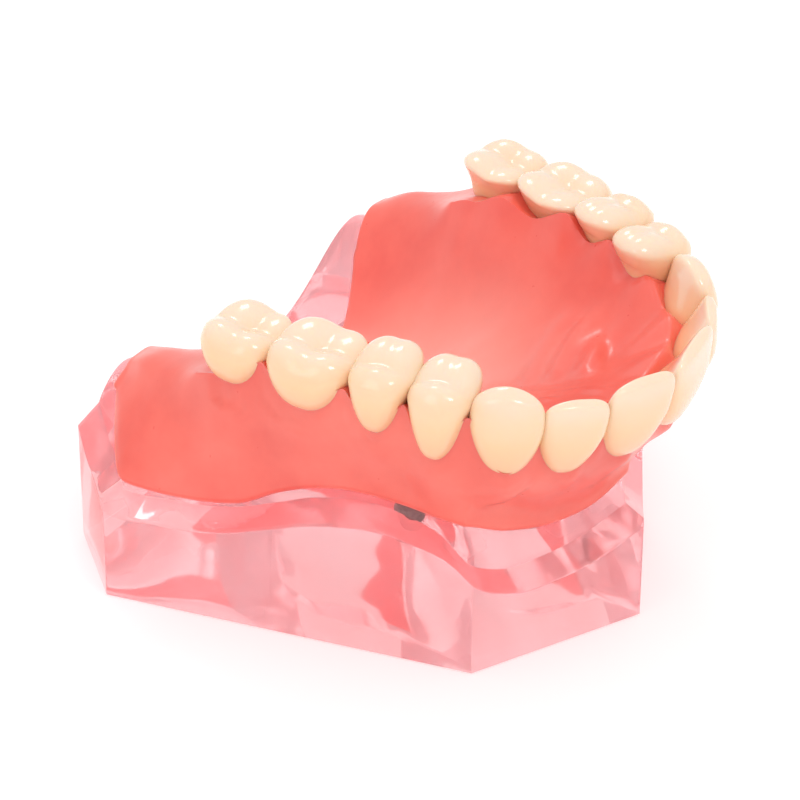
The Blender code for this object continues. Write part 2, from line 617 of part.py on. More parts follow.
def tooth_frame(index, side):
    """Matrix that carries a crown's own frame to its place on the arch, and the crown's width."""
    x0, y0 = CONTACTS[index]
    x1, y1 = CONTACTS[index + 1]
    if index == 0:
        x0 = side * MIDLINE_X
    kind = list(CROWNS)[index]
    middle_x, middle_y = (x0 + x1) / 2, (y0 + y1) / 2
    width = math.hypot(x1 - x0, y1 - y0)
    station, _ = station_of(np.array(middle_x), np.array(middle_y))
    shape = crown_shape(kind, width)
    neck_z = float(along(MARGIN_Z, station)) - shape["sink"]
    yaw = math.atan2(y1 - y0, x1 - x0)
    base = Matrix.Translation((ARCH_X * MM, 0, 0)) @ Matrix.Diagonal((side, 1, 1, 1))
    spin = Matrix.Rotation(yaw, 4, "Z") @ Matrix.Rotation(math.pi, 4, "Z")
    lean = Matrix.Rotation(math.radians(-shape["lean"]), 4, "X")
    lean = Matrix.Rotation(math.radians(TILT.get(kind, 0.0)), 4, "Y") @ lean
    pivot = Matrix.Translation((0, 0, shape["height"] * MM))
    spot = Matrix.Translation((middle_x * MM, middle_y * MM, neck_z * MM))
    return base @ spot @ spin @ pivot @ lean @ pivot.inverted(), width - TOOTH_GAP


def teeth(collection, cutters, denture):
    """Fourteen crowns, each with a slightly larger cutter for its socket."""
    ivory = finish("ivory_acrylic", IVORY, 0.2)
    for index, kind in enumerate(CROWNS):
        for side, label in ((1, "right"), (-1, "left")):
            matrix, width = tooth_frame(index, side)
            tooth = new_object(f"tooth_{kind}_{label}", crown_mesh(kind, width), collection, ivory)
            settle(tooth, matrix)
            smooth(tooth, 60)
            cutter = new_object(f"socket_{kind}_{label}", crown_mesh(kind, width), cutters)
            settle(cutter, matrix)
            grow = cutter.modifiers.new("Clearance", "DISPLACE")
            grow.strength = SOCKET_OFFSET * MM
            grow.mid_level = 0.0
            make_cutter(cutter)
            boolean(denture, cutter)


def settle(obj, matrix):
    """Places a mesh by a matrix that may mirror it, and turns its faces out again."""
    obj.data.transform(matrix)
    if matrix.determinant() < 0:
        obj.data.flip_normals()


def main():
    for obj in list(bpy.data.objects):
        bpy.data.objects.remove(obj)
    model = bpy.data.collections.new("overdenture_model")
    cutters = bpy.data.collections.new("cutters")
    bpy.context.scene.collection.children.link(model)
    bpy.context.scene.collection.children.link(cutters)
    clear_base(model, cutters)
    attachments(model)
    denture = denture_base(model, cutters)
    teeth(model, cutters, denture)
    smooth(denture, 40)


main()
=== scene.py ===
"""Looks of the upper-jaw overdenture model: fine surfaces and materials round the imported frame.

Shapes are worked out in millimetres and turned into metres when a mesh is made. The front of the
mouth is -Y. A station is an angle round the arch's centre in degrees up to 90, then 90 plus
millimetres back, as in the CAD source.
"""

import math

import bmesh
import bpy
import numpy as np
from mathutils import Matrix, Quaternion, Vector
from mathutils.bvhtree import BVHTree


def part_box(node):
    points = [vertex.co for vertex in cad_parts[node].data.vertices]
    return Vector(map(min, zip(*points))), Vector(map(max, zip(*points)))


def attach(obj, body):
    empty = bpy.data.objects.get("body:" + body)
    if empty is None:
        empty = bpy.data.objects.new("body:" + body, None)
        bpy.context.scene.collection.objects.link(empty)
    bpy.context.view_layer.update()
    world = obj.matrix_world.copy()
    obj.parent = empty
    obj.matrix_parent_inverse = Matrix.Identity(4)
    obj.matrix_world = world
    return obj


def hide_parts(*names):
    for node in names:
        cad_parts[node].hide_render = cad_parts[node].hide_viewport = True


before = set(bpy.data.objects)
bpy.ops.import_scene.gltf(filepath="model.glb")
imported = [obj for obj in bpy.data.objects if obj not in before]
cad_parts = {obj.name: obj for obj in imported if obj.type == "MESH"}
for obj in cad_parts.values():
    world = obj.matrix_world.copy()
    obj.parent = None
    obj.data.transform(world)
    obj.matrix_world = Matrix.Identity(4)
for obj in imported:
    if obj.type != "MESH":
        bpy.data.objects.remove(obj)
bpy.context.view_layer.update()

MM = 0.001
TINY = 1e-9
MERGE = 1e-7  # metres within which two points are one


def node_box(node):
    """Lowest and highest corner of a CAD node, in millimetres."""
    low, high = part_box(node)
    return np.array(low) / MM, np.array(high) / MM


def upright(node):
    """A CAD node's upright axis (x and y), its radius, and its lowest and highest level."""
    low, high = node_box(node)
    x, y = (low[:2] + high[:2]) / 2
    return x, y, (high[0] - low[0]) / 2, low[2], high[2]


BASE_LOW, BASE_HIGH = node_box("clear_jaw_base")
SPOTS = ("front_left", "front_right", "rear_left", "rear_right")
SIDES = ((1, "right"), (-1, "left"))
ARCH_X = upright("denture_base")[0]  # the arch's midline, off the middle of the trimmed base

# Trimmed outline of the base. Its front, sides and back come from the frame.
FRONT_Y = BASE_LOW[1]
BACK_Y = BASE_HIGH[1]
HEEL_CORNER = (BASE_HIGH[0], 19.5)
BACK_CORNER = (0.8 * BASE_HIGH[0], BACK_Y)
CANINE_CORNER_RIGHT = (17.0, -17.2)
CANINE_CORNER_LEFT = (-20.5, -21.5)
FAN_Y = 12.0

# The clear jaw: palate, ridge, slope down to the fold, and ledge out to the wall.
LEDGE_WIDTH = 3.0
LEDGE_RISE = 1.1
VAULT_Z = 10.8
VAULT_POWER = 1.5
SLOPE_POWER = 0.8
SLOPE_LEAST = 3.6
CREST_RADIUS = ((0, 35.0), (15, 34.4), (29, 30.9), (42, 26.9), (64, 22.8), (90, 22.0), (98, 22.2),
                (108, 20.4))
CREST_Z = ((0, 20.8), (45, 21.0), (75, 22.2), (98, 22.0), (104, 20.8), (108, 19.8))
RIM_Z = ((0, 12.5), (8, 10.0), (16, 9.0), (26, 9.4), (31, 11.2), (35, 14.2), (42, 16.1), (59, 15.8),
         (70, 13.8), (80, 12.1), (92, 11.4), (97, 11.5), (100, 13.0), (105, 14.0), (108, 15.8))
LEDGE_PAST = 1.2  # the ledge's slope goes on this far, as a share of its width
JAW_STATIONS = 230
STATION_SPACE = 0.15  # least gap between an even station and a corner's own
PALATE_ROWS = 44
PALATE_CROWDING = 0.8
SLOPE_ROWS = 26
LEDGE_ROWS = 7
EDGE_BEVEL = 0.45
BEVEL_ANGLE = 20  # a wall's edges turning more than this many degrees are bevelled
WALL_TILT = 0.02  # a face is a wall when its normal rises less than this
FLAT_ANGLE = 0.002

# Holes for the turned parts.
FIT = 0.02
CUTTER_SEGMENTS = 48

# The denture, by station.
SEAT_GAP = 0.12
STATION_END = 104.0
DENTURE_STATIONS = 170
BORDER_Z = ((0, 17.0), (6, 14.7), (14, 13.8), (23, 14.6), (31, 16.4), (40, 17.9), (50, 18.5), (60, 17.8),
            (69, 16.2), (78, 13.9), (90, 12.9), (98, 13.6), (105, 16.0))
BORDER_SHARES = (0.05, 0.95)  # limits of the border, as shares of the slope's height
MARGIN_RADIUS = ((0, 42.3), (8, 42.2), (18, 41.0), (28, 39.8), (37, 36.6), (47, 32.9), (58, 30.4),
                 (74, 27.9), (90, 27.0), (97, 25.8), (105, 23.0))
MARGIN_Z = ((0, 24.4), (10, 24.3), (20, 25.2), (30, 26.2), (38, 27.3), (50, 29.0), (70, 29.8), (86, 29.8),
            (91, 28.2), (94, 26.8), (98, 25.4), (101, 24.6), (105, 22.2))
INNER_RADIUS = ((0, 38.6), (18, 37.2), (28, 33.0), (38, 27.4), (50, 22.6), (70, 18.6), (90, 18.0),
                (97, 18.5), (105, 19.0))
INNER_Z = ((0, 28.8), (20, 30.2), (30, 31.5), (50, 32.5), (64, 31.6), (80, 31.0), (88, 30.2), (93, 28.0),
           (97, 25.8), (101, 24.2), (105, 23.0))
BOWL_POWER = ((0, 1.2), (35, 1.5), (60, 2.7), (105, 3.4))
BORDER_ROLL = 1.1
FLANGE_HOLLOW = 0.35
TABLE_STEP = (0.3, 0.7)  # start and length of the tooth table's step up, as shares
PALATE_THICKNESS = 2.0
RIDGE_THICKNESS = 2.9  # added over the ridge, to cover the housings
RIDGE_WIDTH = 7.0
PAD_START = 74.0  # station where that extra starts to fade towards the pads
PAD_LENGTH = 22.0
PAD_THINNING = 0.6
PLATE_BLEND = 0.8
PALATE_END_Y = 19.0
PALATE_END_SWEEP = 8.0
PALATE_END_X = 18.0
BACK_STRETCH = 15.0  # stations from the fan's end to the palate's end
DISTAL_START = 97.0
DISTAL_LENGTH = 8.0
DISTAL_SHRINK = 0.55
FLANGE_ROWS = 34
TABLE_ROWS = 20
BOWL_ROWS = 60
ROLL_ROWS = 8
BACK_ROWS = 6
BACK_ROUNDING = 1.0
FITTING_CROWDING = 0.9
GUM_MERGE = 2e-6  # metres
PAD_ROUND_Y = 12.5  # the pads are rounded from here back
PAD_ROUND_LENGTH = 5.0
PAD_PASSES = 50
FAN_REACH = 4.0  # the bend where the fan ends is evened out this far
FAN_PASSES = 40

# Folds of the front palate: height, half width, and where they lie.
LOBE_HEIGHT = 0.9
LOBE_SIZE = (2.1, 3.6)
LOBE_Y = -21.5
RAPHE_HEIGHT = 0.3
RAPHE_WIDTH = 0.9
RAPHE_FRONT = (-20, 6)
RAPHE_BACK = (-10, 12)
RUGAE = ((-19.2, 13.5, -1.6, 0.75), (-15.4, 14.5, -2.0, 0.7), (-11.6, 13.5, -1.8, 0.5))
RUGA_SWEEP = 0.12
RUGA_WIDTH = (0.85, 0.05)
RUGA_INNER_FADE = (1.8, 2.0)
RUGA_OUTER_FADE = 3.0
RELIEF_FADE = (0.72, 0.28)  # start and length of the folds' fade, as shares of the way to the teeth

# Gum details, by the tooth contacts: papillae, and roots showing through the flange.
CONTACTS = ((0, -31.7), (8.5, -29.4), (14.0, -25.3), (17.7, -18.7), (19.5, -12.1), (21.3, -5.5),
            (22.8, 4.2), (23.3, 12.9))
MIDLINE_X = -0.8
PAPILLA_OUTER = (5.6, 5.8, 6.0, 6.0, 4.8, 3.6, 3.0, 0.0)
PAPILLA_INNER = (0.7, 0.7, 0.8, 1.2, 2.0, 2.2, 1.8, 0.0)
PAPILLA_SPAN = 0.52
PAPILLA_LEAN = 0.13
LEAN_LIMIT = 0.6
PAPILLA_START = (0.45, 0.55)  # start and length of the papillae, as shares of the flange's height
PAPILLA_POWER = 1.3
PAPILLA_INNER_REACH = 0.16
ROOT_SWELL = (0.25, 0.2, 0.55, 0.4, 0.35, 0.35, 0.2)
SWELL_SKEW = 0.8
SWELL_POWER = 1.5
ARCH_SAMPLES = 1200
ARCH_BATCH = 4000
ARCH_END = 2.0
COLLAR_REACH = 0.75
COLLAR_HEIGHT = 0.28
COLLAR_SEARCH = 2.5
SNUG_COLUMNS = (7.0, 3.0)
SNUG_LEAST = 0.01

# Crowns and their cusps, as in the CAD source, which says what each size means. A cusp is (across,
# outwards, how far down). Widths run a little over, so that neighbours touch along a band.
WIDTH_OVER = 1.07
CROWN_SIZES = ("depth", "height", "neck", "edge", "lean", "rise", "shoulder", "sink", "corner", "taper",
               "slope")
CROWNS = {
    "central_incisor": (6.8, 12.9, 0.54, 0.24, 17, 5.0, 0.64, 2.0, 0.24, 0.75, 1.2),
    "lateral_incisor": (6.4, 11.9, 0.50, 0.24, 14, 5.0, 0.64, 2.3, 0.26, 0.8, 1.2),
    "canine": (7.6, 11.9, 0.48, 0.36, 4, 5.0, 0.64, 2.0, 0.32, 0.75, 1.4),
    "premolar1": (9.6, 11.3, 0.52, 0.84, -3, 5.7, 0.72, 1.6, 0.32, 1.5, 2.3),
    "premolar2": (9.8, 9.7, 0.50, 0.84, -3, 4.3, 0.70, 1.1, 0.32, 1.15, 2.3),
    "molar1": (10.4, 7.8, 0.56, 0.86, -3, 1.8, 0.66, 1.5, 0.34, 0.9, 2.0),
    "molar2": (9.8, 7.2, 0.56, 0.86, -3, 1.4, 0.66, 2.3, 0.36, 0.9, 2.0),
}
CUSPS = {
    "central_incisor": ((0.6, 0.2, 0.0), (-0.1, 0.2, 0.0), (-0.65, 0.2, 0.35)),
    "lateral_incisor": ((0.6, 0.2, 0.0), (0.0, 0.2, 0.1), (-0.6, 0.2, 0.6)),
    "canine": ((0.0, 0.05, 0.0), (-0.75, 0.0, 1.3), (0.75, 0.0, 1.2)),
    "premolar1": ((-0.5, 0.62, 1.3), (0.0, 0.66, 0.9), (0.5, 0.62, 1.3), (-0.3, -0.45, 0.2),
                  (0.3, -0.45, 0.2)),
    "premolar2": ((-0.5, 0.62, 1.3), (0.0, 0.66, 1.0), (0.5, 0.62, 1.3), (-0.3, -0.45, 0.2),
                  (0.3, -0.45, 0.2)),
    "molar1": ((-0.5, 0.66, 0.2), (0.5, 0.66, 0.3), (-0.5, -0.6, 0.0), (0.5, -0.62, 0.4)),
    "molar2": ((-0.48, 0.66, 0.1), (0.48, 0.64, 0.4), (-0.44, -0.58, 0.0), (0.5, -0.6, 0.5)),
}
# Degrees the neck tips back along the row.
TILT = {"central_incisor": 3.0, "lateral_incisor": 7.0, "canine": 3.0}
TOOTH_ROOT = 1.15
TOOTH_SEGMENTS = 72
ROOT_RINGS = 14
SIDE_RINGS = 16
TOP_RINGS = 20
SIDE_END = 60  # degrees up the crown where the rings start to close over the top
TOP_HOLE = 0.04  # the last ring's share of the full width
ROUNDNESS = (0.74, 0.84)
ROOT_POWER = 0.42
LIFT_POWER = 0.42
CUSP_BLEND = 5.0
CUSP_SHARPNESS = 1.8
NECK_BULGE = 0.92
BELLY = 0.18
EDGE_PULL = 0.24
EDGE_POWER = 1.25
NECK_TUCK = 0.35
TUCK_SPAN = 0.25
ROOT_TUCK = 0.5
INNER_FULLNESS = 1.0

# Turned parts. Their places, radii and levels come from the frame.
TURN_SEGMENTS = 56
WELL_RADIUS = 1.1
WELL_DEPTH = 4.0
CHAMFER = 0.15
PLAIN_BAND = 0.9  # smooth band above the thread
THREAD_START = 1.0
THREAD_END = 1.2
THREAD_PITCH = 0.9
THREAD_DEPTH = 0.24
THREAD_TURNS = ((0.0, 0.0), (0.18, 0.0), (0.5, 1.0), (0.68, 1.0))  # shares of the pitch and the depth
TIP_TAPER = 0.86
TIP_CURVE = ((0.72, 0.7), (0.55, 0.2), (0.35, 0.0), (0.0, 0.0))  # share of the radius, level
BALL_RADIUS = 1.1
BALL_STEPS = 18
NECK_RADIUS = 0.75
NECK_FOOT = 0.75
ABUTMENT_SEAT = 0.02
ABUTMENT_CURVE = ((0.25, 0.7), (0.05, 0.55), (0.0, 0.3), (0.0, 0.0))  # in from the radius, level
SHANK_RADIUS = 0.8
HOUSING_WALL = 0.35
HOUSING_ROOF = 0.45
HOUSING_CURVE = ((0.35, 0.0), (0.1, 0.1), (0.0, 0.35))  # in from the radius, down from the top
GROOVE_CURVE = ((0.0, 0.3), (0.18, 0.12), (0.18, -0.12), (0.0, -0.3))
HOUSING_EDGE = 0.08
HOUSING_MOUTH = 0.06
HOUSING_COVE = 0.2
RING_HALF = 0.275
RING_STEPS = 20


def along(keys, station):
    """A smooth curve through (station, value) keys."""
    places = np.array([k[0] for k in keys], float)
    values = np.array([k[1] for k in keys], float)
    slopes = np.gradient(values, places)
    s = np.clip(np.abs(station), places[0], places[-1])
    i = np.clip(np.searchsorted(places, s, side="right") - 1, 0, len(places) - 2)
    h = places[i + 1] - places[i]
    t = (s - places[i]) / h
    rise = t * t * (3 - 2 * t)
    start = t * (1 - t) ** 2 * h * slopes[i]
    finish = t * t * (t - 1) * h * slopes[i + 1]
    return values[i] * (1 - rise) + values[i + 1] * rise + start + finish


def ease(t):
    """0 to 1 with flat ends."""
    t = np.clip(t, 0, 1)
    return t * t * (3 - 2 * t)


def fade(value, start, length):
    """0 up to the start, then eased up to 1 over that length."""
    return ease((value - start) / length)


def station_of(x, y):
    """Station and radius of points given in the arch's own frame."""
    ahead = FAN_Y - y
    angle = np.degrees(np.arctan2(np.abs(x), np.maximum(ahead, TINY)))
    behind = ahead <= 0
    station = np.where(behind, 90 + y - FAN_Y, angle)
    return station, np.where(behind, np.abs(x), np.hypot(x, ahead))


def wall_radius(station, side):
    """Distance from the arch's centre out to the trimmed wall, on the side with that sign of x."""
    q = np.radians(np.minimum(np.abs(station), 90))
    y = FAN_Y + np.maximum(np.abs(station) - 90, 0)
    cx = np.where(side > 0, CANINE_CORNER_RIGHT[0], -CANINE_CORNER_LEFT[0])
    cy = np.where(side > 0, CANINE_CORNER_RIGHT[1], CANINE_CORNER_LEFT[1])
    front_slope = (cy - FRONT_Y) / cx
    side_slope = (HEEL_CORNER[0] - cx) / (HEEL_CORNER[1] - cy)
    heel_slope = (BACK_CORNER[0] - HEEL_CORNER[0]) / (BACK_CORNER[1] - HEEL_CORNER[1])
    front = (FAN_Y - FRONT_Y) / np.maximum(np.cos(q) + front_slope * np.sin(q), TINY)
    flank = (cx + side_slope * (y - cy)) / (np.sin(q) + side_slope * np.cos(q))
    heel = HEEL_CORNER[0] + heel_slope * (y - HEEL_CORNER[1])
    return np.where(np.abs(station) < 90, np.minimum(front, flank), np.minimum(flank, heel))


def crest_radius(station, side):
    """Radius of the ridge's crest, kept inside the trimmed wall."""
    return np.minimum(along(CREST_RADIUS, station), wall_radius(station, side) - LEDGE_WIDTH - SLOPE_LEAST)


def jaw_top(x, y):
    """Height of the clear base's top, in the arch's frame: palate, ridge, slope and ledge."""
    q, r = station_of(x, y)
    fold_r = wall_radius(q, x) - LEDGE_WIDTH
    crest_r = crest_radius(q, x)
    crest_z = along(CREST_Z, q)
    fold_z = along(RIM_Z, q) + LEDGE_RISE
    inward = np.clip(r / crest_r, 0, 1)
    palate = VAULT_Z + (crest_z - VAULT_Z) * np.sin(math.pi / 2 * inward ** VAULT_POWER) ** 2
    side = np.clip((r - crest_r) / (fold_r - crest_r), 0, 1)
    slope = fold_z + (crest_z - fold_z) * np.cos(math.pi / 2 * side) ** SLOPE_POWER
    ledge = fold_z - LEDGE_RISE * np.clip((r - fold_r) / LEDGE_WIDTH, 0, LEDGE_PAST)
    return np.where(r < crest_r, palate, np.where(r < fold_r, slope, ledge))


def outline():
    """The trimmed outline's corners, anticlockwise from the front point."""
    heels = [HEEL_CORNER, BACK_CORNER]
    mirrored = [(-x, y) for x, y in reversed(heels)]
    return [(0.0, FRONT_Y), CANINE_CORNER_RIGHT] + heels + mirrored + [CANINE_CORNER_LEFT]


def ray_to_outline(origin, direction):
    """Distance along a ray from inside the outline to its wall."""
    corners = outline()
    best = math.inf
    for (ax, ay), (bx, by) in zip(corners, corners[1:] + corners[:1]):
        nx, ny = by - ay, ax - bx
        facing = nx * direction[0] + ny * direction[1]
        if facing > TINY:
            best = min(best, (nx * (ax - origin[0]) + ny * (ay - origin[1])) / facing)
    return best


def mesh_object(name, points, faces):
    """A mesh object from points in millimetres."""
    mesh = bpy.data.meshes.new(name)
    mesh.from_pydata([tuple(float(c) * MM for c in p) for p in points], [], faces)
    obj = bpy.data.objects.new(name, mesh)
    bpy.context.scene.collection.objects.link(obj)
    return obj


def rebuild(obj, work):
    """Runs bmesh steps on an object's mesh."""
    bm = bmesh.new()
    bm.from_mesh(obj.data)
    work(bm)
    bm.to_mesh(obj.data)
    bm.free()
    obj.data.update()


def smooth(obj, sharp_above):
    """Shades an object smooth, with edges above that many degrees kept sharp."""
    obj.data.shade_smooth()
    obj.data.set_sharp_from_angle(angle=math.radians(sharp_above))


def apply_modifiers(obj):
    """Bakes an object's modifiers in its mesh."""
    evaluated = obj.evaluated_get(bpy.context.evaluated_depsgraph_get())
    baked = bpy.data.meshes.new_from_object(evaluated)
    obj.modifiers.clear()
    obj.data = baked


def grid_faces(rows, columns, closed=False):
    """Quads between neighbouring rows of a grid of points."""
    last = columns if closed else columns - 1
    faces = []
    for i in range(rows - 1):
        for j in range(last):
            k = (j + 1) % columns
            faces.append((i * columns + j, i * columns + k, (i + 1) * columns + k, (i + 1) * columns + j))
    return faces


# ---- clear jaw base

def jaw_stations(side):
    """Stations on one side, with one on each corner of the outline."""
    even = np.linspace(0, 90 + BACK_Y - FAN_Y, JAW_STATIONS)
    corners = []
    for x, y in outline():
        x -= ARCH_X
        if x * side > 0 and y < BACK_Y:
            corners.append(float(station_of(np.array(x), np.array(y))[0]))
    away = [s for s in even if all(abs(s - c) > STATION_SPACE for c in corners)]
    return np.array(sorted(away + corners))


def jaw_row(station, side):
    """Points of the base's top from the middle out to the wall, at one station."""
    if station <= 90:
        a = math.radians(station)
        origin, direction = (ARCH_X, FAN_Y), (side * math.sin(a), -math.cos(a))
    else:
        origin, direction = (ARCH_X, FAN_Y + station - 90), (side, 0.0)
    wall = ray_to_outline(origin, direction)
    crest = float(crest_radius(station, side))
    fold = float(wall_radius(station, side)) - LEDGE_WIDTH
    inner = crest * np.linspace(0, 1, PALATE_ROWS) ** PALATE_CROWDING
    slope = crest + (fold - crest) * np.linspace(0, 1, SLOPE_ROWS + 1)[1:]
    ledge = fold + (wall - fold) * np.linspace(0, 1, LEDGE_ROWS + 1)[1:]
    r = np.concatenate([inner, slope, ledge])
    x = origin[0] + direction[0] * r
    y = origin[1] + direction[1] * r
    return np.stack([x, y, jaw_top(x - ARCH_X, y)], axis=-1)


def weigh_edges(bm):
    """Marks the rim, the upright corners and the bottom edges for the bevel."""
    weight = bm.edges.layers.float.new("bevel_weight_edge")
    for edge in bm.edges:
        if len(edge.link_faces) != 2:
            continue
        a, b = (f.normal for f in edge.link_faces)
        wall = any(abs(n.z) < WALL_TILT for n in (a, b))
        if wall and a.angle(b) > math.radians(BEVEL_ANGLE):
            edge[weight] = 1.0


def clear_base():
    """The clear cast jaw with its trimmed walls, bored for the implants."""
    rows = [jaw_row(s, -1) for s in jaw_stations(-1)[::-1]] + [jaw_row(s, 1) for s in jaw_stations(1)]
    points = np.concatenate(rows)
    obj = mesh_object("clear_jaw", points, grid_faces(len(rows), len(rows[0])))

    def close(bm):
        bmesh.ops.remove_doubles(bm, verts=bm.verts, dist=MERGE)
        rim = [e for e in bm.edges if e.is_boundary]
        walls = bmesh.ops.extrude_edge_only(bm, edges=rim)["geom"]
        floor = [v for v in walls if isinstance(v, bmesh.types.BMVert)]
        for v in floor:
            v.co.z = 0.0
        bmesh.ops.contextual_create(bm, geom=[e for e in bm.edges if e.is_boundary])
        bmesh.ops.recalc_face_normals(bm, faces=bm.faces)
        bmesh.ops.dissolve_limit(bm, angle_limit=FLAT_ANGLE, verts=[v for v in bm.verts if v.co.z == 0.0],
                                 edges=[e for e in bm.edges if all(v.co.z == 0.0 for v in e.verts)])
        bm.normal_update()
        weigh_edges(bm)

    rebuild(obj, close)
    bevel = obj.modifiers.new("Edges", "BEVEL")
    bevel.limit_method = "WEIGHT"
    bevel.width = EDGE_BEVEL * MM
    bevel.segments = 3
    for spot in SPOTS:
        hole(obj, f"implant_{spot}", below=0.1, above=20)
    apply_modifiers(obj)
    smooth(obj, sharp_above=32)
    return obj


cutters = []


def hole(obj, node, below, above):
    """Adds a Boolean cut for a turned CAD node, reaching that far below and above it."""
    x, y, radius, low, high = upright(node)
    n = CUTTER_SEGMENTS
    angles = np.arange(n) * math.tau / n
    ring = np.stack([x + (radius + FIT) * np.cos(angles), y + (radius + FIT) * np.sin(angles)], axis=-1)
    points = [(px, py, z) for z in (low - below, high + above) for px, py in ring]
    faces = [(i, (i + 1) % n, n + (i + 1) % n, n + i) for i in range(n)]
    faces += [tuple(range(n))[::-1], tuple(range(n, 2 * n))]
    cutter = mesh_object(f"cut_{node}", points, faces)
    cutter.hide_render = True
    cutter.hide_viewport = True
    cutters.append(cutter)
    obj.modifiers.new("Cut", "BOOLEAN").object = cutter


# ---- denture base

def place(station, side, r):
    """Points at radii on a station. Behind the fan the sweep follows the denture's back edge."""
    r = np.asarray(r, float)
    if station <= 90:
        a = math.radians(station)
        return side * r * math.sin(a), FAN_Y - r * math.cos(a)
    end_y = PALATE_END_Y + PALATE_END_SWEEP * np.minimum(1.0, (r / PALATE_END_X) ** 2)
    return side * r, FAN_Y + (end_y - FAN_Y) * (station - 90) / BACK_STRETCH


def border_radius(station, side):
    """Radius where the denture's underside ends on the ridge's outer slope."""
    fold_r = wall_radius(station, side) - LEDGE_WIDTH
    crest_r = crest_radius(station, side)
    crest_z = along(CREST_Z, station)
    fold_z = along(RIM_Z, station) + LEDGE_RISE
    height = np.clip((along(BORDER_Z, station) - fold_z) / (crest_z - fold_z), *BORDER_SHARES)
    reach = np.arccos(height ** (1 / SLOPE_POWER)) / (math.pi / 2)
    shrink = 1 - DISTAL_SHRINK * np.clip((station - DISTAL_START) / DISTAL_LENGTH, 0, 1) ** 2
    return crest_r + (fold_r - crest_r) * reach * shrink


def arch_curve():
    """A smooth line through the tooth contacts, the length along it, and where each contact lies."""
    left = [(-x, y) for x, y in CONTACTS[:0:-1]]
    points = np.array(left + [(MIDLINE_X, CONTACTS[0][1])] + list(CONTACTS[1:]), float)
    chord = np.concatenate([[0], np.cumsum(np.hypot(*np.diff(points, axis=0).T))])
    s = np.linspace(0, chord[-1], ARCH_SAMPLES)
    x = along(list(zip(chord, points[:, 0])), s)
    y = along(list(zip(chord, points[:, 1])), s)
    return np.stack([x, y], axis=-1), s, chord


ARCH_LINE, ARCH_PLACES, ARCH_CONTACTS = arch_curve()


def on_arch(xy):
    """For points in the arch's frame: place along the tooth row, way outwards from it and distance."""
    nearest = np.empty(len(xy), int)
    for start in range(0, len(xy), ARCH_BATCH):
        part = xy[start:start + ARCH_BATCH]
        apart = ((part[:, None] - ARCH_LINE[None]) ** 2).sum(-1)
        nearest[start:start + ARCH_BATCH] = np.argmin(apart, axis=1)
    away = xy - ARCH_LINE[nearest]
    length = np.maximum(np.linalg.norm(away, axis=1, keepdims=True), TINY)
    return ARCH_PLACES[nearest], away / length, length[:, 0]


def between_contacts(s):
    """Which tooth a place belongs to, from the left end of the row, and how far along it."""
    i = np.clip(np.searchsorted(ARCH_CONTACTS, s) - 1, 0, len(ARCH_CONTACTS) - 2)
    return i, (s - ARCH_CONTACTS[i]) / (ARCH_CONTACTS[i + 1] - ARCH_CONTACTS[i])


def papilla(s, heights):
    """How much higher the gum stands towards the tooth contacts, at places along the row."""
    tall = np.array(heights[:0:-1] + heights, float)
    i, u = between_contacts(s)
    return tall[i] * ease(1 - u / PAPILLA_SPAN) + tall[i + 1] * ease(1 - (1 - u) / PAPILLA_SPAN)


def root_swell(s):
    """How far the roots show through the flange, at places along the row."""
    swell = np.array(ROOT_SWELL[::-1] + ROOT_SWELL)
    i, u = between_contacts(s)
    return swell[i] * np.sin(math.pi * np.clip(u, 0, 1)) ** 2


def shape_gum(grid, outer, inner, swell):
    """Raises the papillae and swells the roots, by each column's shares."""
    flat = grid.reshape(-1, 3)
    s, outwards, length = on_arch(flat[:, :2])
    rows = len(grid)
    tall = papilla(s, PAPILLA_OUTER) * np.tile(outer, rows)
    pull = np.minimum(PAPILLA_LEAN * tall, length * LEAN_LIMIT)
    push = root_swell(s) * np.tile(swell, rows)
    flat[:, :2] += outwards * (push - pull)[:, None]
    flat[:, 2] += tall + papilla(s, PAPILLA_INNER) * np.tile(inner, rows)
    return flat.reshape(grid.shape)


def palate_relief(x, y):
    """Soft folds of the front palate: a papilla, a ridge along the midline and pairs of rugae."""
    lobe = LOBE_HEIGHT * np.exp(-(x / LOBE_SIZE[0]) ** 2 - ((y - LOBE_Y) / LOBE_SIZE[1]) ** 2)
    raphe = RAPHE_HEIGHT * np.exp(-(x / RAPHE_WIDTH) ** 2) * fade(y, *RAPHE_FRONT) * fade(-y, *RAPHE_BACK)
    total = lobe + raphe
    across = np.abs(x)
    for start_y, reach, bend, height in RUGAE:
        line_y = start_y - bend * np.sin(np.clip(across / reach, 0, 1) * math.pi) + RUGA_SWEEP * across
        width = RUGA_WIDTH[0] + RUGA_WIDTH[1] * across
        window = fade(across, *RUGA_INNER_FADE) * ease((reach - across) / RUGA_OUTER_FADE)
        total = total + height * np.exp(-((y - line_y) / width) ** 2) * window
    return total


def cameo_height(x, y, station, side, r):
    """Height of the denture's polished inner surface at radii inside the teeth."""
    inner_r = float(along(INNER_RADIUS, station))
    inner_z = float(along(INNER_Z, station))
    floor = VAULT_Z + PALATE_THICKNESS
    bowl = floor + (inner_z - floor) * (r / inner_r) ** float(along(BOWL_POWER, station))
    from_ridge = (r - float(crest_radius(station, side))) / RIDGE_WIDTH
    thinning = fade(station, PAD_START, PAD_LENGTH)
    thickness = PALATE_THICKNESS * (1 - PAD_THINNING * thinning)
    cover = RIDGE_THICKNESS * (1 - thinning) * np.exp(-from_ridge ** 2)
    plate = jaw_top(x, y) + thickness + cover
    height = PLATE_BLEND * np.logaddexp(bowl / PLATE_BLEND, plate / PLATE_BLEND)
    near = fade(r / inner_r, *RELIEF_FADE)
    return height + palate_relief(x, y) * (1 - near)


def shares(rows):
    """Even shares up to 1, one for each row."""
    return np.linspace(0, 1, rows + 1)[1:]


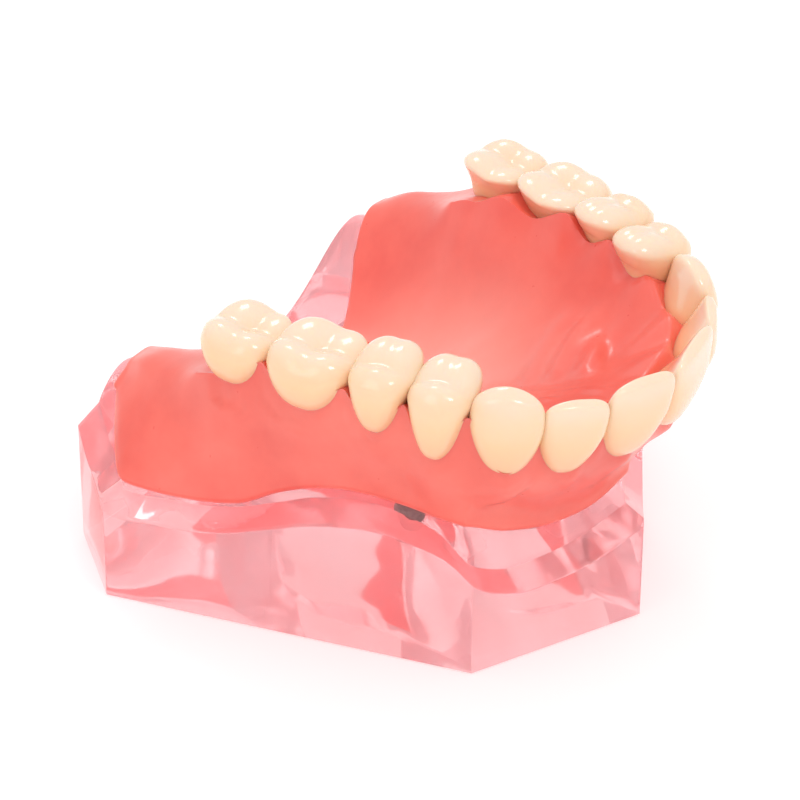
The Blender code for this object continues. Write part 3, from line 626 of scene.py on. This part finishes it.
def upper_chain(station, side):
    """Points of the polished surface, from the border over the flange and tooth table to the midline."""
    border_r = float(border_radius(station, side))
    bx, by = place(station, side, border_r)
    border_z = float(jaw_top(bx, by)) + SEAT_GAP
    margin_r = float(along(MARGIN_RADIUS, station))
    margin_z = float(along(MARGIN_Z, station))
    inner_r = float(along(INNER_RADIUS, station))
    inner_z = float(along(INNER_Z, station))
    turn = np.linspace(-math.pi / 2, 0, ROLL_ROWS)
    roll_r = border_r + BORDER_ROLL * np.cos(turn)
    roll_z = border_z + BORDER_ROLL * (1 + np.sin(turn))
    t = shares(FLANGE_ROWS)
    flange_r = roll_r[-1] + (margin_r - roll_r[-1]) * ease(t)
    flange_z = roll_z[-1] + (margin_z - roll_z[-1]) * t
    flange_r = flange_r - FLANGE_HOLLOW * np.sin(math.pi * t) ** 2
    u = shares(TABLE_ROWS)
    table_r = margin_r + (inner_r - margin_r) * u
    table_z = margin_z + (inner_z - margin_z) * fade(u, *TABLE_STEP)
    bowl_r = inner_r * (1 - shares(BOWL_ROWS))
    r = np.concatenate([roll_r, flange_r, table_r, bowl_r])
    x, y = place(station, side, r)
    bowl_z = cameo_height(x[-BOWL_ROWS:], y[-BOWL_ROWS:], station, side, bowl_r)
    return np.stack([x, y, np.concatenate([roll_z, flange_z, table_z, bowl_z])], axis=-1)


def column_shares():
    """Each upper column's share in the outer papillae, the inner papillae and the roots."""
    t, u, v = shares(FLANGE_ROWS), shares(TABLE_ROWS), shares(BOWL_ROWS)
    still = np.zeros(ROLL_ROWS)
    outer = np.concatenate([still, fade(t, *PAPILLA_START) ** PAPILLA_POWER, 1 - ease(u), 0 * v])
    inner = np.concatenate([still, 0 * t, ease(u), ease(1 - v / PAPILLA_INNER_REACH)])
    swell = np.concatenate([still, np.sin(math.pi * t ** SWELL_SKEW) ** SWELL_POWER, 0 * u, 0 * v])
    return outer, inner, swell


def lower_chain(station, side):
    """As many points of the fitting surface, from the border to the midline, clear of the jaw."""
    count = ROLL_ROWS + FLANGE_ROWS + TABLE_ROWS + BOWL_ROWS
    r = float(border_radius(station, side)) * np.linspace(1, 0, count) ** FITTING_CROWDING
    x, y = place(station, side, r)
    return np.stack([x, y, jaw_top(x, y) + SEAT_GAP], axis=-1)


def rounded_back(upper, lower):
    """Rows that close the back edge, drawing both surfaces together in a round nose."""
    rows = []
    middle = (upper + lower) / 2
    reach = np.minimum(BACK_ROUNDING, 0.5 * np.linalg.norm(upper - lower, axis=1))
    for k in range(1, BACK_ROWS + 1):
        a = math.pi / 2 * k / BACK_ROWS
        back = np.stack([0 * reach, reach * math.sin(a), 0 * reach], axis=-1)
        rows.append((middle + (upper - middle) * math.cos(a) + back,
                     middle + (lower - middle) * math.cos(a) + back))
    return rows


def settle(grid, weight, passes):
    """Draws a grid's inner rows towards the average of their neighbours."""
    for _ in range(passes):
        grid[1:-1] += ((grid[:-2] + grid[2:]) / 2 - grid[1:-1]) * weight / 2


def denture_base(crown_tree):
    """The coral denture base: flange, gum with papillae, palate and fitting surface."""
    stations = np.linspace(0, STATION_END, DENTURE_STATIONS)
    halves = {}
    for side in (-1, 1):
        rows = [(upper_chain(s, side), lower_chain(s, side)) for s in stations]
        halves[side] = rows + rounded_back(*rows[-1])
    ordered = halves[-1][::-1] + halves[1]
    columns = len(ordered[0][0])
    grid = np.stack([row[0] for row in ordered])
    settle(grid, np.exp(-((grid[1:-1, :, 1:2] - FAN_Y) / FAN_REACH) ** 2), FAN_PASSES)
    pads = grid.swapaxes(0, 1)[ROLL_ROWS - 1:]
    settle(pads, fade(pads[1:-1, :, 1:2], PAD_ROUND_Y, PAD_ROUND_LENGTH), PAD_PASSES)
    upper = shape_gum(grid, *column_shares()).reshape(-1, 3)
    lower = np.concatenate([row[1] for row in ordered])
    upper = collar(upper + np.array([ARCH_X, 0, 0]), len(ordered), crown_tree)
    lower = lower + np.array([ARCH_X, 0, 0])
    top_faces = grid_faces(len(ordered), columns)
    low_faces = [tuple(i + len(upper) for i in f[::-1]) for f in top_faces]
    obj = mesh_object("denture_gum", np.concatenate([upper, lower]), top_faces + low_faces)

    def close(bm):
        bmesh.ops.remove_doubles(bm, verts=bm.verts, dist=GUM_MERGE)
        bmesh.ops.dissolve_degenerate(bm, edges=bm.edges, dist=MERGE)
        bmesh.ops.recalc_face_normals(bm, faces=bm.faces)

    rebuild(obj, close)
    for spot in SPOTS:
        hole(obj, f"housing_{spot}", below=8, above=0.05)
    apply_modifiers(obj)
    smooth(obj, sharp_above=60)
    return obj


def collar(points, rows, tree):
    """Draws the gum line up to the crowns and raises a soft rolled collar round each."""
    grid = points.reshape(rows, -1, 3)
    normal = np.cross(np.gradient(grid, axis=1), np.gradient(grid, axis=0)).reshape(-1, 3)
    normal /= np.maximum(np.linalg.norm(normal, axis=-1, keepdims=True), TINY)
    column = np.tile(np.arange(grid.shape[1]) - (ROLL_ROWS + FLANGE_ROWS - 1), rows)
    share = np.exp(-(column / np.where(column < 0, *SNUG_COLUMNS)) ** 2)
    s, outwards, _ = on_arch(points[:, :2] - np.array([ARCH_X, 0]))
    share *= fade(s, ARCH_END, ARCH_END) * fade(ARCH_PLACES[-1] - s, ARCH_END, ARCH_END)
    out = points.copy()
    for i, p in enumerate(points):
        spot, facing, _, away = tree.find_nearest(Vector(p), COLLAR_SEARCH)
        if spot is None:
            continue
        gap = np.array(spot) - p
        if np.dot(gap, facing) < 0 and share[i] > SNUG_LEAST:
            pull = float(np.dot(gap[:2], outwards[i])) * share[i]
            out[i, :2] += outwards[i] * min(pull, 0.0)
        out[i] += normal[i] * COLLAR_HEIGHT * math.exp(-(away / COLLAR_REACH) ** 2)
    return out


# ---- teeth

def crown_shape(kind, width):
    """All sizes of one kind of crown, by name."""
    shape = dict(zip(CROWN_SIZES, CROWNS[kind]))
    shape["half_width"] = width / 2
    shape["level"] = shape["height"] * shape["shoulder"]
    shape["cusps"] = CUSPS[kind]
    return shape


def crown_top(shape, x, y):
    """Height of the chewing surface: the highest of the cusps' slopes, softly joined."""
    across, out = x / shape["half_width"], y / (shape["depth"] / 2)
    total = np.zeros_like(x)
    for cx, cy, drop in shape["cusps"]:
        fall = shape["slope"] * np.hypot(across - cx, out - cy) ** CUSP_SHARPNESS
        total += np.exp(CUSP_BLEND * (shape["height"] - drop - fall))
    return np.log(total) / CUSP_BLEND


def ring_angles(corner):
    """Angles of a crown's rings: even on the root and the sides, then even steps across the top."""
    root = np.linspace(-math.pi / 2, 0, ROOT_RINGS + 1)[1:]
    sides = np.linspace(0, math.radians(SIDE_END), SIDE_RINGS + 1)[1:]
    start = math.cos(sides[-1]) ** corner
    shrink = np.linspace(start, TOP_HOLE, TOP_RINGS + 1)[1:]
    return np.concatenate([root, sides, np.arccos(shrink ** (1 / corner))])


def crown_ring(shape, a, cx, cy):
    """One ring of a crown. a runs from -90 degrees at the root end to 90 at the chewing surface."""
    height, depth, shoulder = shape["height"], shape["depth"], shape["level"]
    ring = abs(math.cos(a)) ** (ROOT_POWER if a < 0 else shape["corner"])
    lift = math.sin(a) ** LIFT_POWER if a > 0 else math.sin(a)
    level = shoulder + (height - shoulder) * lift if a > 0 else shoulder + (shoulder + TOOTH_ROOT) * lift
    t = min(max(level / height, 0.0), 1.0)
    low = min(max(level / shoulder, 0.0), 1.0)
    share = shape["neck"] + (1 - shape["neck"]) * low ** shape["taper"]
    wide = shape["half_width"] * (share + (1 - share) * INNER_FULLNESS * (1 - cy) / 2)
    outer = depth / 2 * (NECK_BULGE + BELLY * math.sin(math.pi * t) - EDGE_PULL * t * t)
    thick = depth * (NECK_BULGE + (shape["edge"] - NECK_BULGE) * t ** EDGE_POWER)
    tuck = NECK_TUCK * max(1 - t / TUCK_SPAN, 0.0) ** 2 + ROOT_TUCK * max(-math.sin(a), 0.0)
    outer -= tuck
    thick -= 2 * tuck
    x = cx * ring * wide
    y = outer - thick / 2 + cy * ring * thick / 2
    z = np.full_like(x, level)
    if a > 0:
        z = shoulder + (crown_top(shape, x, y) - shoulder) * lift
    rise = shape["rise"] * (depth / 2 - y) / depth * max(1 - t / shape["shoulder"], 0.0)
    return np.stack([x, y, z + rise], axis=-1)


def crown_points(shape):
    """Rings and end points of a crown, x along the arch, y outwards, z up from the outer neck."""
    theta = np.arange(TOOTH_SEGMENTS) * math.tau / TOOTH_SEGMENTS
    cx = np.sign(np.cos(theta)) * np.abs(np.cos(theta)) ** ROUNDNESS[0]
    cy = np.sign(np.sin(theta)) * np.abs(np.sin(theta)) ** ROUNDNESS[1]
    rings = [crown_ring(shape, a, cx, cy) for a in ring_angles(shape["corner"])]
    ends = [crown_ring(shape, a, cx[:1] * 0, cy[:1] * 0) for a in (-math.pi / 2, math.pi / 2)]
    return np.concatenate(rings + ends), len(rings)


def crown_faces(rings):
    """Quads between rings and fans at both ends."""
    n = TOOTH_SEGMENTS
    faces = grid_faces(rings, n, closed=True)
    low, high = rings * n, rings * n + 1
    for i in range(n):
        j = (i + 1) % n
        faces.append((low, j, i))
        faces.append((high, (rings - 1) * n + i, (rings - 1) * n + j))
    return faces


def tooth_place(index, side, kind):
    """Matrix in millimetres that carries a crown to its place on the arch, and the place's width."""
    x0, y0 = CONTACTS[index]
    x1, y1 = CONTACTS[index + 1]
    if index == 0:
        x0 = side * MIDLINE_X
    middle_x, middle_y = (x0 + x1) / 2, (y0 + y1) / 2
    width = math.hypot(x1 - x0, y1 - y0)
    shape = crown_shape(kind, width)
    station, _ = station_of(np.array(middle_x), np.array(middle_y))
    neck_z = float(along(MARGIN_Z, station)) - shape["sink"]
    yaw = math.atan2(y1 - y0, x1 - x0)
    base = Matrix.Translation((ARCH_X, 0, 0)) @ Matrix.Diagonal((side, 1, 1, 1))
    spin = Matrix.Rotation(yaw, 4, "Z") @ Matrix.Rotation(math.pi, 4, "Z")
    lean = Matrix.Rotation(math.radians(-shape["lean"]), 4, "X")
    lean = Matrix.Rotation(math.radians(TILT.get(kind, 0.0)), 4, "Y") @ lean
    pivot = Matrix.Translation((0, 0, shape["height"]))
    spot = Matrix.Translation((middle_x, middle_y, neck_z))
    return base @ spot @ spin @ pivot @ lean @ pivot.inverted(), width


def teeth():
    """Fourteen crowns, each centred on its CAD node. Also returns a search tree of them all."""
    made = []
    all_points, all_faces = [], []
    for index, kind in enumerate(CROWNS):
        for side, label in SIDES:
            matrix, width = tooth_place(index, side, kind)
            shape = crown_shape(kind, width * WIDTH_OVER)
            local, rings = crown_points(shape)
            m = np.array(matrix)
            points = local @ m[:3, :3].T + m[:3, 3]
            node = f"tooth_{kind}_{label}"
            low, high = node_box(node)
            points[:, :2] += ((low + high) / 2 - (points.min(0) + points.max(0)) / 2)[:2]
            faces = crown_faces(rings)
            if side < 0:
                faces = [f[::-1] for f in faces]
            obj = mesh_object(f"crown_{kind}_{label}", points, faces)
            rise = obj.data.attributes.new("rise", "FLOAT", "POINT")
            rise.data.foreach_set("value", (local[:, 2] / shape["height"]).astype(np.float32))
            smooth(obj, sharp_above=70)
            start = sum(len(p) for p in all_points)
            all_points.append(points)
            all_faces += [tuple(i + start for i in f) for f in faces]
            made.append((obj, node))
    tree = BVHTree.FromPolygons([tuple(p) for p in np.concatenate(all_points)], all_faces)
    return made, tree


# ---- turned metal and rubber parts

def turned(name, profile, x, y):
    """A turned piece from a profile of (radius, z), from axis to axis or closed on itself."""
    closed = profile[0][0] > 0
    ring = np.arange(TURN_SEGMENTS) * math.tau / TURN_SEGMENTS
    points, rows = [], []
    for r, z in profile:
        if r < TINY:
            rows.append([len(points)] * TURN_SEGMENTS)
            points.append((x, y, z))
        else:
            rows.append(list(range(len(points), len(points) + TURN_SEGMENTS)))
            points += [(x + r * math.cos(a), y + r * math.sin(a), z) for a in ring]
    faces = []
    pairs = list(zip(rows, rows[1:])) + ([(rows[-1], rows[0])] if closed else [])
    for a, b in pairs:
        for i in range(TURN_SEGMENTS):
            j = (i + 1) % TURN_SEGMENTS
            corners = dict.fromkeys((a[i], b[i], b[j], a[j]))
            if len(corners) > 2:
                faces.append(tuple(corners))
    obj = mesh_object(name, points, faces)
    rebuild(obj, lambda bm: bmesh.ops.recalc_face_normals(bm, faces=bm.faces))
    smooth(obj, sharp_above=40)
    return obj


def implant(spot):
    """A tapered implant with a cut thread round it and a well for the abutment."""
    x, y, radius, tip, top = upright(f"implant_{spot}")
    profile = [(0.0, top - WELL_DEPTH), (WELL_RADIUS, top - WELL_DEPTH), (WELL_RADIUS, top - CHAMFER),
               (WELL_RADIUS + CHAMFER, top), (radius - CHAMFER, top), (radius, top - CHAMFER),
               (radius, top - PLAIN_BAND)]
    z = top - THREAD_START
    while z > tip + THREAD_END:
        outer = radius * (TIP_TAPER + (1 - TIP_TAPER) * (z - tip) / (top - tip))
        profile += [(outer - deep * THREAD_DEPTH, z - turn * THREAD_PITCH) for turn, deep in THREAD_TURNS]
        z -= THREAD_PITCH
    profile += [(share * radius, tip + above) for share, above in TIP_CURVE]
    return turned(f"titanium_implant_{spot}", profile, x, y)


def abutment(spot):
    """A polished ball abutment on its collar."""
    x, y, radius, foot, top = upright(f"ball_abutment_{spot}")
    ball_z = top - BALL_RADIUS
    seat = upright(f"implant_{spot}")[4] + ABUTMENT_SEAT
    end = math.pi - math.asin(NECK_RADIUS / BALL_RADIUS)
    profile = [(BALL_RADIUS * math.sin(a), ball_z + BALL_RADIUS * math.cos(a))
               for a in np.linspace(0, end, BALL_STEPS)]
    profile.append((NECK_RADIUS, seat + NECK_FOOT))
    profile += [(radius - inside, seat + above) for inside, above in ABUTMENT_CURVE]
    profile += [(SHANK_RADIUS, seat), (SHANK_RADIUS, foot), (0.0, foot)]
    return turned(f"steel_ball_{spot}", profile, x, y)


def housing(spot):
    """A metal cap with a locking groove, open below."""
    x, y, radius, low, high = upright(f"housing_{spot}")
    bore = radius - HOUSING_WALL
    middle = (low + high) / 2
    ceiling = high - HOUSING_ROOF
    profile = [(0.0, high)]
    profile += [(radius - inside, high - down) for inside, down in HOUSING_CURVE]
    profile += [(radius - inside, middle + above) for inside, above in GROOVE_CURVE]
    profile += [(radius, low + HOUSING_EDGE), (radius - HOUSING_EDGE, low), (bore + HOUSING_MOUTH, low),
                (bore, low + HOUSING_MOUTH), (bore, ceiling - HOUSING_COVE), (bore - HOUSING_COVE, ceiling),
                (0.0, ceiling)]
    return turned(f"steel_housing_{spot}", profile, x, y)


def ring(spot):
    """An elastic ring round the ball."""
    x, y, outer, low, high = upright(f"retention_ring_{spot}")
    middle, tall = (low + high) / 2, (high - low) / 2
    profile = [(outer - RING_HALF + RING_HALF * math.cos(a), middle - tall * math.sin(a))
               for a in np.arange(RING_STEPS) * math.tau / RING_STEPS]
    return turned(f"rubber_ring_{spot}", profile, x, y)


# ---- materials

def color(rgb):
    """A linear colour from sRGB in 0 to 255."""
    def linear(c):
        c /= 255
        return c / 12.92 if c <= 0.04045 else ((c + 0.055) / 1.055) ** 2.4
    return (*[linear(c) for c in rgb], 1.0)


class Look:
    """A node material: its Principled shader and makers of the nodes that feed it."""

    def __init__(self, name):
        self.material = bpy.data.materials.new(name)
        self.material.use_nodes = True
        self.tree = self.material.node_tree
        self.shader = self.tree.nodes["Principled BSDF"]

    def node(self, kind, **values):
        """A new node, with inputs or settings given by name."""
        made = self.tree.nodes.new("ShaderNode" + kind)
        for key, value in values.items():
            if key in made.inputs:
                made.inputs[key].default_value = value
            else:
                setattr(made, key, value)
        return made

    def link(self, source, target):
        """Feeds an input from an output."""
        self.tree.links.new(source, target)

    def settings(self, values):
        """Sets inputs of the main shader by name."""
        for name, value in values.items():
            self.shader.inputs[name].default_value = value

    def fac(self, kind, **values):
        """The value of a texture in object space."""
        made = self.node(kind, **values)
        self.link(self.node("TexCoord").outputs["Object"], made.inputs["Vector"])
        return made.outputs["Fac"]

    def noise(self, scale, detail, roughness):
        """The value of a noise texture."""
        return self.fac("TexNoise", Scale=scale, Detail=detail, Roughness=roughness)

    def ramp(self, source, stops):
        """A colour picked from (place, sRGB) stops by a value."""
        made = self.node("ValToRGB")
        elements = made.color_ramp.elements
        while len(elements) < len(stops):
            elements.new(0.5)
        for element, (at, rgb) in zip(elements, stops):
            element.position = at
            element.color = color(rgb)
        self.link(source, made.inputs["Fac"])
        return made.outputs["Color"]

    def tint(self, source, stops):
        """Colours the surface by a value."""
        self.link(self.ramp(source, stops), self.shader.inputs["Base Color"])

    def roughness(self, source, low, high):
        """Varies the roughness by a value."""
        made = self.node("MapRange")
        made.inputs["To Min"].default_value = low
        made.inputs["To Max"].default_value = high
        self.link(source, made.inputs["Value"])
        self.link(made.outputs["Result"], self.shader.inputs["Roughness"])

    def relief(self, source, strength, distance):
        """Bumps the surface by a value."""
        made = self.node("Bump", Strength=strength, Distance=distance)
        self.link(source, made.inputs["Height"])
        self.link(made.outputs["Normal"], self.shader.inputs["Normal"])

    def finish(self, source, stops, rough, bump, metallic):
        """Tints, roughens and bumps a surface by one value."""
        self.tint(source, stops)
        self.roughness(source, *rough)
        self.relief(source, *bump)
        self.settings({"Metallic": metallic})
        return self.material


# Painted highlight: round this spot in the palate's middle the coral is mixed towards a paler colour,
# standing in for light through the acrylic and sheen.
PAINTED_SHEEN_SPOT = (0.001, 0.004, 0.014)  # metres
PAINTED_SHEEN_REACH = (0.004, 0.024)
PAINTED_SHEEN_SHARE = 0.85


def coral_material():
    """Glossy coral acrylic: soft mottling, fine orange-peel, and a painted highlight that pales the
    palate's middle.
    """
    look = Look("coral_acrylic")
    mottle = look.ramp(look.noise(scale=90, detail=4.0, roughness=0.55),
                       [(0.3, (236, 97, 84)), (0.5, (244, 109, 95)), (0.72, (250, 121, 106))])
    # Painted highlight: paler coral mixed in round a spot in the palate's middle.
    reach = look.node("VectorMath", operation="DISTANCE")
    reach.inputs[1].default_value = PAINTED_SHEEN_SPOT
    look.link(look.node("TexCoord").outputs["Object"], reach.inputs[0])
    near = look.node("MapRange", interpolation_type="SMOOTHSTEP")
    near.inputs["From Min"].default_value, near.inputs["From Max"].default_value = PAINTED_SHEEN_REACH
    near.inputs["To Min"].default_value = PAINTED_SHEEN_SHARE
    near.inputs["To Max"].default_value = 0.0
    look.link(reach.outputs["Value"], near.inputs["Value"])
    painted_sheen = look.node("Mix", data_type="RGBA")
    share, body, pale = painted_sheen.inputs[0], painted_sheen.inputs[6], painted_sheen.inputs[7]
    pale.default_value = color((255, 170, 156))
    look.link(near.outputs["Result"], share)
    look.link(mottle, body)
    look.link(painted_sheen.outputs[2], look.shader.inputs["Base Color"])
    look.roughness(look.noise(scale=900, detail=2.0, roughness=0.5), low=0.24, high=0.38)
    look.relief(look.noise(scale=420, detail=2.0, roughness=0.4), strength=0.12, distance=0.00035)
    look.settings({"Subsurface Weight": 0.25, "Subsurface Radius": (1.0, 0.35, 0.25),
                   "Subsurface Scale": 0.0016, "Coat Weight": 0.25, "Coat Roughness": 0.12, "IOR": 1.49})
    return look.material


def ivory_material():
    """Layered tooth resin: warm neck, ivory body, paler tip, faint growth lines."""
    look = Look("ivory_resin")
    level = look.node("Math", operation="MULTIPLY_ADD")
    look.link(look.noise(scale=160, detail=3.0, roughness=0.5), level.inputs[0])
    level.inputs[1].default_value = 0.16
    look.link(look.node("Attribute", attribute_name="rise").outputs["Fac"], level.inputs[2])
    look.tint(level.outputs[0], [(0.05, (232, 173, 137)), (0.3, (248, 194, 150)), (0.62, (251, 206, 162)),
                                 (0.86, (249, 213, 178)), (1.0, (245, 219, 193))])
    look.roughness(look.noise(scale=700, detail=2.0, roughness=0.5), low=0.14, high=0.26)
    look.relief(look.noise(scale=300, detail=2.0, roughness=0.4), strength=0.06, distance=0.0002)
    look.settings({"Subsurface Weight": 0.3, "Subsurface Radius": (1.0, 0.6, 0.35),
                   "Subsurface Scale": 0.0014, "Coat Weight": 0.5, "Coat Roughness": 0.07, "IOR": 1.5})
    return look.material


def resin_material():
    """Clear pink cast resin with faint flow lines and a faint painted pink glow. It lets light through to
    what it covers.
    """
    look = Look("clear_pink_resin")
    look.tint(look.noise(scale=60, detail=3.0, roughness=0.5),
              [(0.35, (255, 196, 196)), (0.65, (255, 216, 219))])
    look.roughness(look.noise(scale=250, detail=2.0, roughness=0.5), low=0.01, high=0.06)
    look.relief(look.noise(scale=70, detail=1.0, roughness=0.3), strength=0.14, distance=0.0012)
    # The pink emission is painted glow: the resin lights itself a little, standing in for light carried
    # through it.
    look.settings({"Transmission Weight": 0.9, "IOR": 1.47, "Emission Color": color((255, 176, 180)),
                   "Emission Strength": 0.05})
    path = look.node("LightPath")
    either = look.node("Math", operation="MAXIMUM")
    look.link(path.outputs["Is Shadow Ray"], either.inputs[0])
    look.link(path.outputs["Is Diffuse Ray"], either.inputs[1])
    share = look.node("Math", operation="MAXIMUM")
    share.inputs[1].default_value = 0.12
    look.link(either.outputs[0], share.inputs[0])
    through = look.node("BsdfTransparent", Color=color((255, 222, 226)))
    mix = look.node("MixShader")
    look.link(share.outputs[0], mix.inputs["Fac"])
    look.link(look.shader.outputs[0], mix.inputs[1])
    look.link(through.outputs[0], mix.inputs[2])
    look.link(mix.outputs[0], look.tree.nodes["Material Output"].inputs["Surface"])
    return look.material


def titanium_material():
    """Grit-blasted titanium."""
    look = Look("blasted_titanium")
    return look.finish(look.noise(scale=2600, detail=4.0, roughness=0.7),
                       stops=[(0.3, (92, 82, 78)), (0.7, (136, 126, 120))],
                       rough=(0.38, 0.6), bump=(0.25, 0.00008), metallic=1.0)


def steel_material():
    """Turned and polished metal with fine rings from the lathe."""
    look = Look("turned_steel")
    rings = look.fac("TexWave", bands_direction="Z", Scale=900, Distortion=0.6, Detail=1.0)
    return look.finish(rings, stops=[(0.0, (188, 186, 186)), (1.0, (214, 212, 210))],
                       rough=(0.14, 0.26), bump=(0.15, 0.00003), metallic=1.0)


def rubber_material():
    """Matt black elastic."""
    look = Look("black_elastic")
    return look.finish(look.noise(scale=1500, detail=3.0, roughness=0.6),
                       stops=[(0.35, (30, 30, 32)), (0.75, (52, 51, 52))],
                       rough=(0.5, 0.72), bump=(0.3, 0.00006), metallic=0.0)


def dress(obj, body, node, material):
    """Gives a piece its material and the body it rides on, and hides the CAD node it stands for."""
    obj.data.materials.clear()
    obj.data.materials.append(material)
    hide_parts(node)
    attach(obj, body)


# ---- stage

# Metres and degrees, with the lens in millimetres and the shift in picture widths.
CAMERA_AZIMUTH = -51.416
CAMERA_ELEVATION = 33.326
CAMERA_ROLL = 0.247
CAMERA_DISTANCE = 0.43626
CAMERA_TARGET = (0.0, 0.0041, 0.018)
CAMERA_LENS = 171.69
CAMERA_SHIFT = (-0.0087875, -0.029075)
LIGHT_TARGET = (0, 0, 0.018)
WHITE = (1, 1, 1, 1)


def direction(azimuth, elevation):
    """The way from the object towards a viewer or a lamp."""
    a, e = math.radians(azimuth), math.radians(elevation)
    return Vector((math.sin(a) * math.cos(e), -math.cos(a) * math.cos(e), math.sin(e)))


def floor_and_world():
    """A plain pale floor that fades into a white surround."""
    bpy.ops.mesh.primitive_plane_add(size=6.0, location=(0, 0, -0.0002))
    floor = bpy.context.object
    floor.name = "pale_floor"
    look = Look("pale_floor")
    look.settings({"Base Color": (0.72, 0.72, 0.72, 1), "Emission Color": WHITE, "Emission Strength": 0.36,
                   "Roughness": 0.8})
    floor.data.materials.append(look.material)
    world = bpy.data.worlds.new("studio")
    world.use_nodes = True
    background = world.node_tree.nodes["Background"]
    background.inputs["Color"].default_value = WHITE
    background.inputs["Strength"].default_value = 0.85
    bpy.context.scene.world = world


def softbox(name, azimuth, elevation, distance, size, power):
    """A square area light aimed at the object."""
    light = bpy.data.lights.new(name, "AREA")
    light.size = size
    light.energy = power
    obj = bpy.data.objects.new(name, light)
    bpy.context.scene.collection.objects.link(obj)
    away = direction(azimuth, elevation)
    obj.location = Vector(LIGHT_TARGET) + away * distance
    obj.rotation_mode = "QUATERNION"
    obj.rotation_quaternion = away.to_track_quat("Z", "Y")


def camera():
    """The camera at the viewing angle, with its small roll and shift."""
    data = bpy.data.cameras.new("camera")
    obj = bpy.data.objects.new("camera", data)
    bpy.context.scene.collection.objects.link(obj)
    back = direction(CAMERA_AZIMUTH, CAMERA_ELEVATION)
    obj.location = Vector(CAMERA_TARGET) + back * CAMERA_DISTANCE
    obj.rotation_mode = "QUATERNION"
    roll = Quaternion((0, 0, 1), math.radians(CAMERA_ROLL))
    obj.rotation_quaternion = (-back).to_track_quat("-Z", "Y") @ roll
    data.sensor_width = 36
    data.lens = CAMERA_LENS
    data.shift_x, data.shift_y = CAMERA_SHIFT
    data.clip_start = 0.01
    bpy.context.scene.camera = obj


# ---- assembly

resin, coral, ivory = resin_material(), coral_material(), ivory_material()
titanium, steel, elastic = titanium_material(), steel_material(), rubber_material()

crowns, crown_tree = teeth()
for crown, node_name in crowns:
    dress(crown, "denture", node_name, ivory)
dress(denture_base(crown_tree), "denture", "denture_base", coral)
dress(clear_base(), "jaw", "clear_jaw_base", resin)
for spot_name in SPOTS:
    dress(implant(spot_name), "jaw", f"implant_{spot_name}", titanium)
    dress(abutment(spot_name), "jaw", f"ball_abutment_{spot_name}", steel)
    dress(housing(spot_name), "denture", f"housing_{spot_name}", steel)
    dress(ring(spot_name), "denture", f"retention_ring_{spot_name}", elastic)
for used in cutters:
    bpy.data.objects.remove(used)

floor_and_world()
softbox("key_softbox", azimuth=-20, elevation=62, distance=0.8, size=0.2, power=1.2)
softbox("fill_softbox", azimuth=-100, elevation=40, distance=0.9, size=0.4, power=0.6)
softbox("back_softbox", azimuth=140, elevation=50, distance=0.9, size=0.22, power=0.9)
camera()
bpy.context.scene.view_settings.view_transform = "Standard"
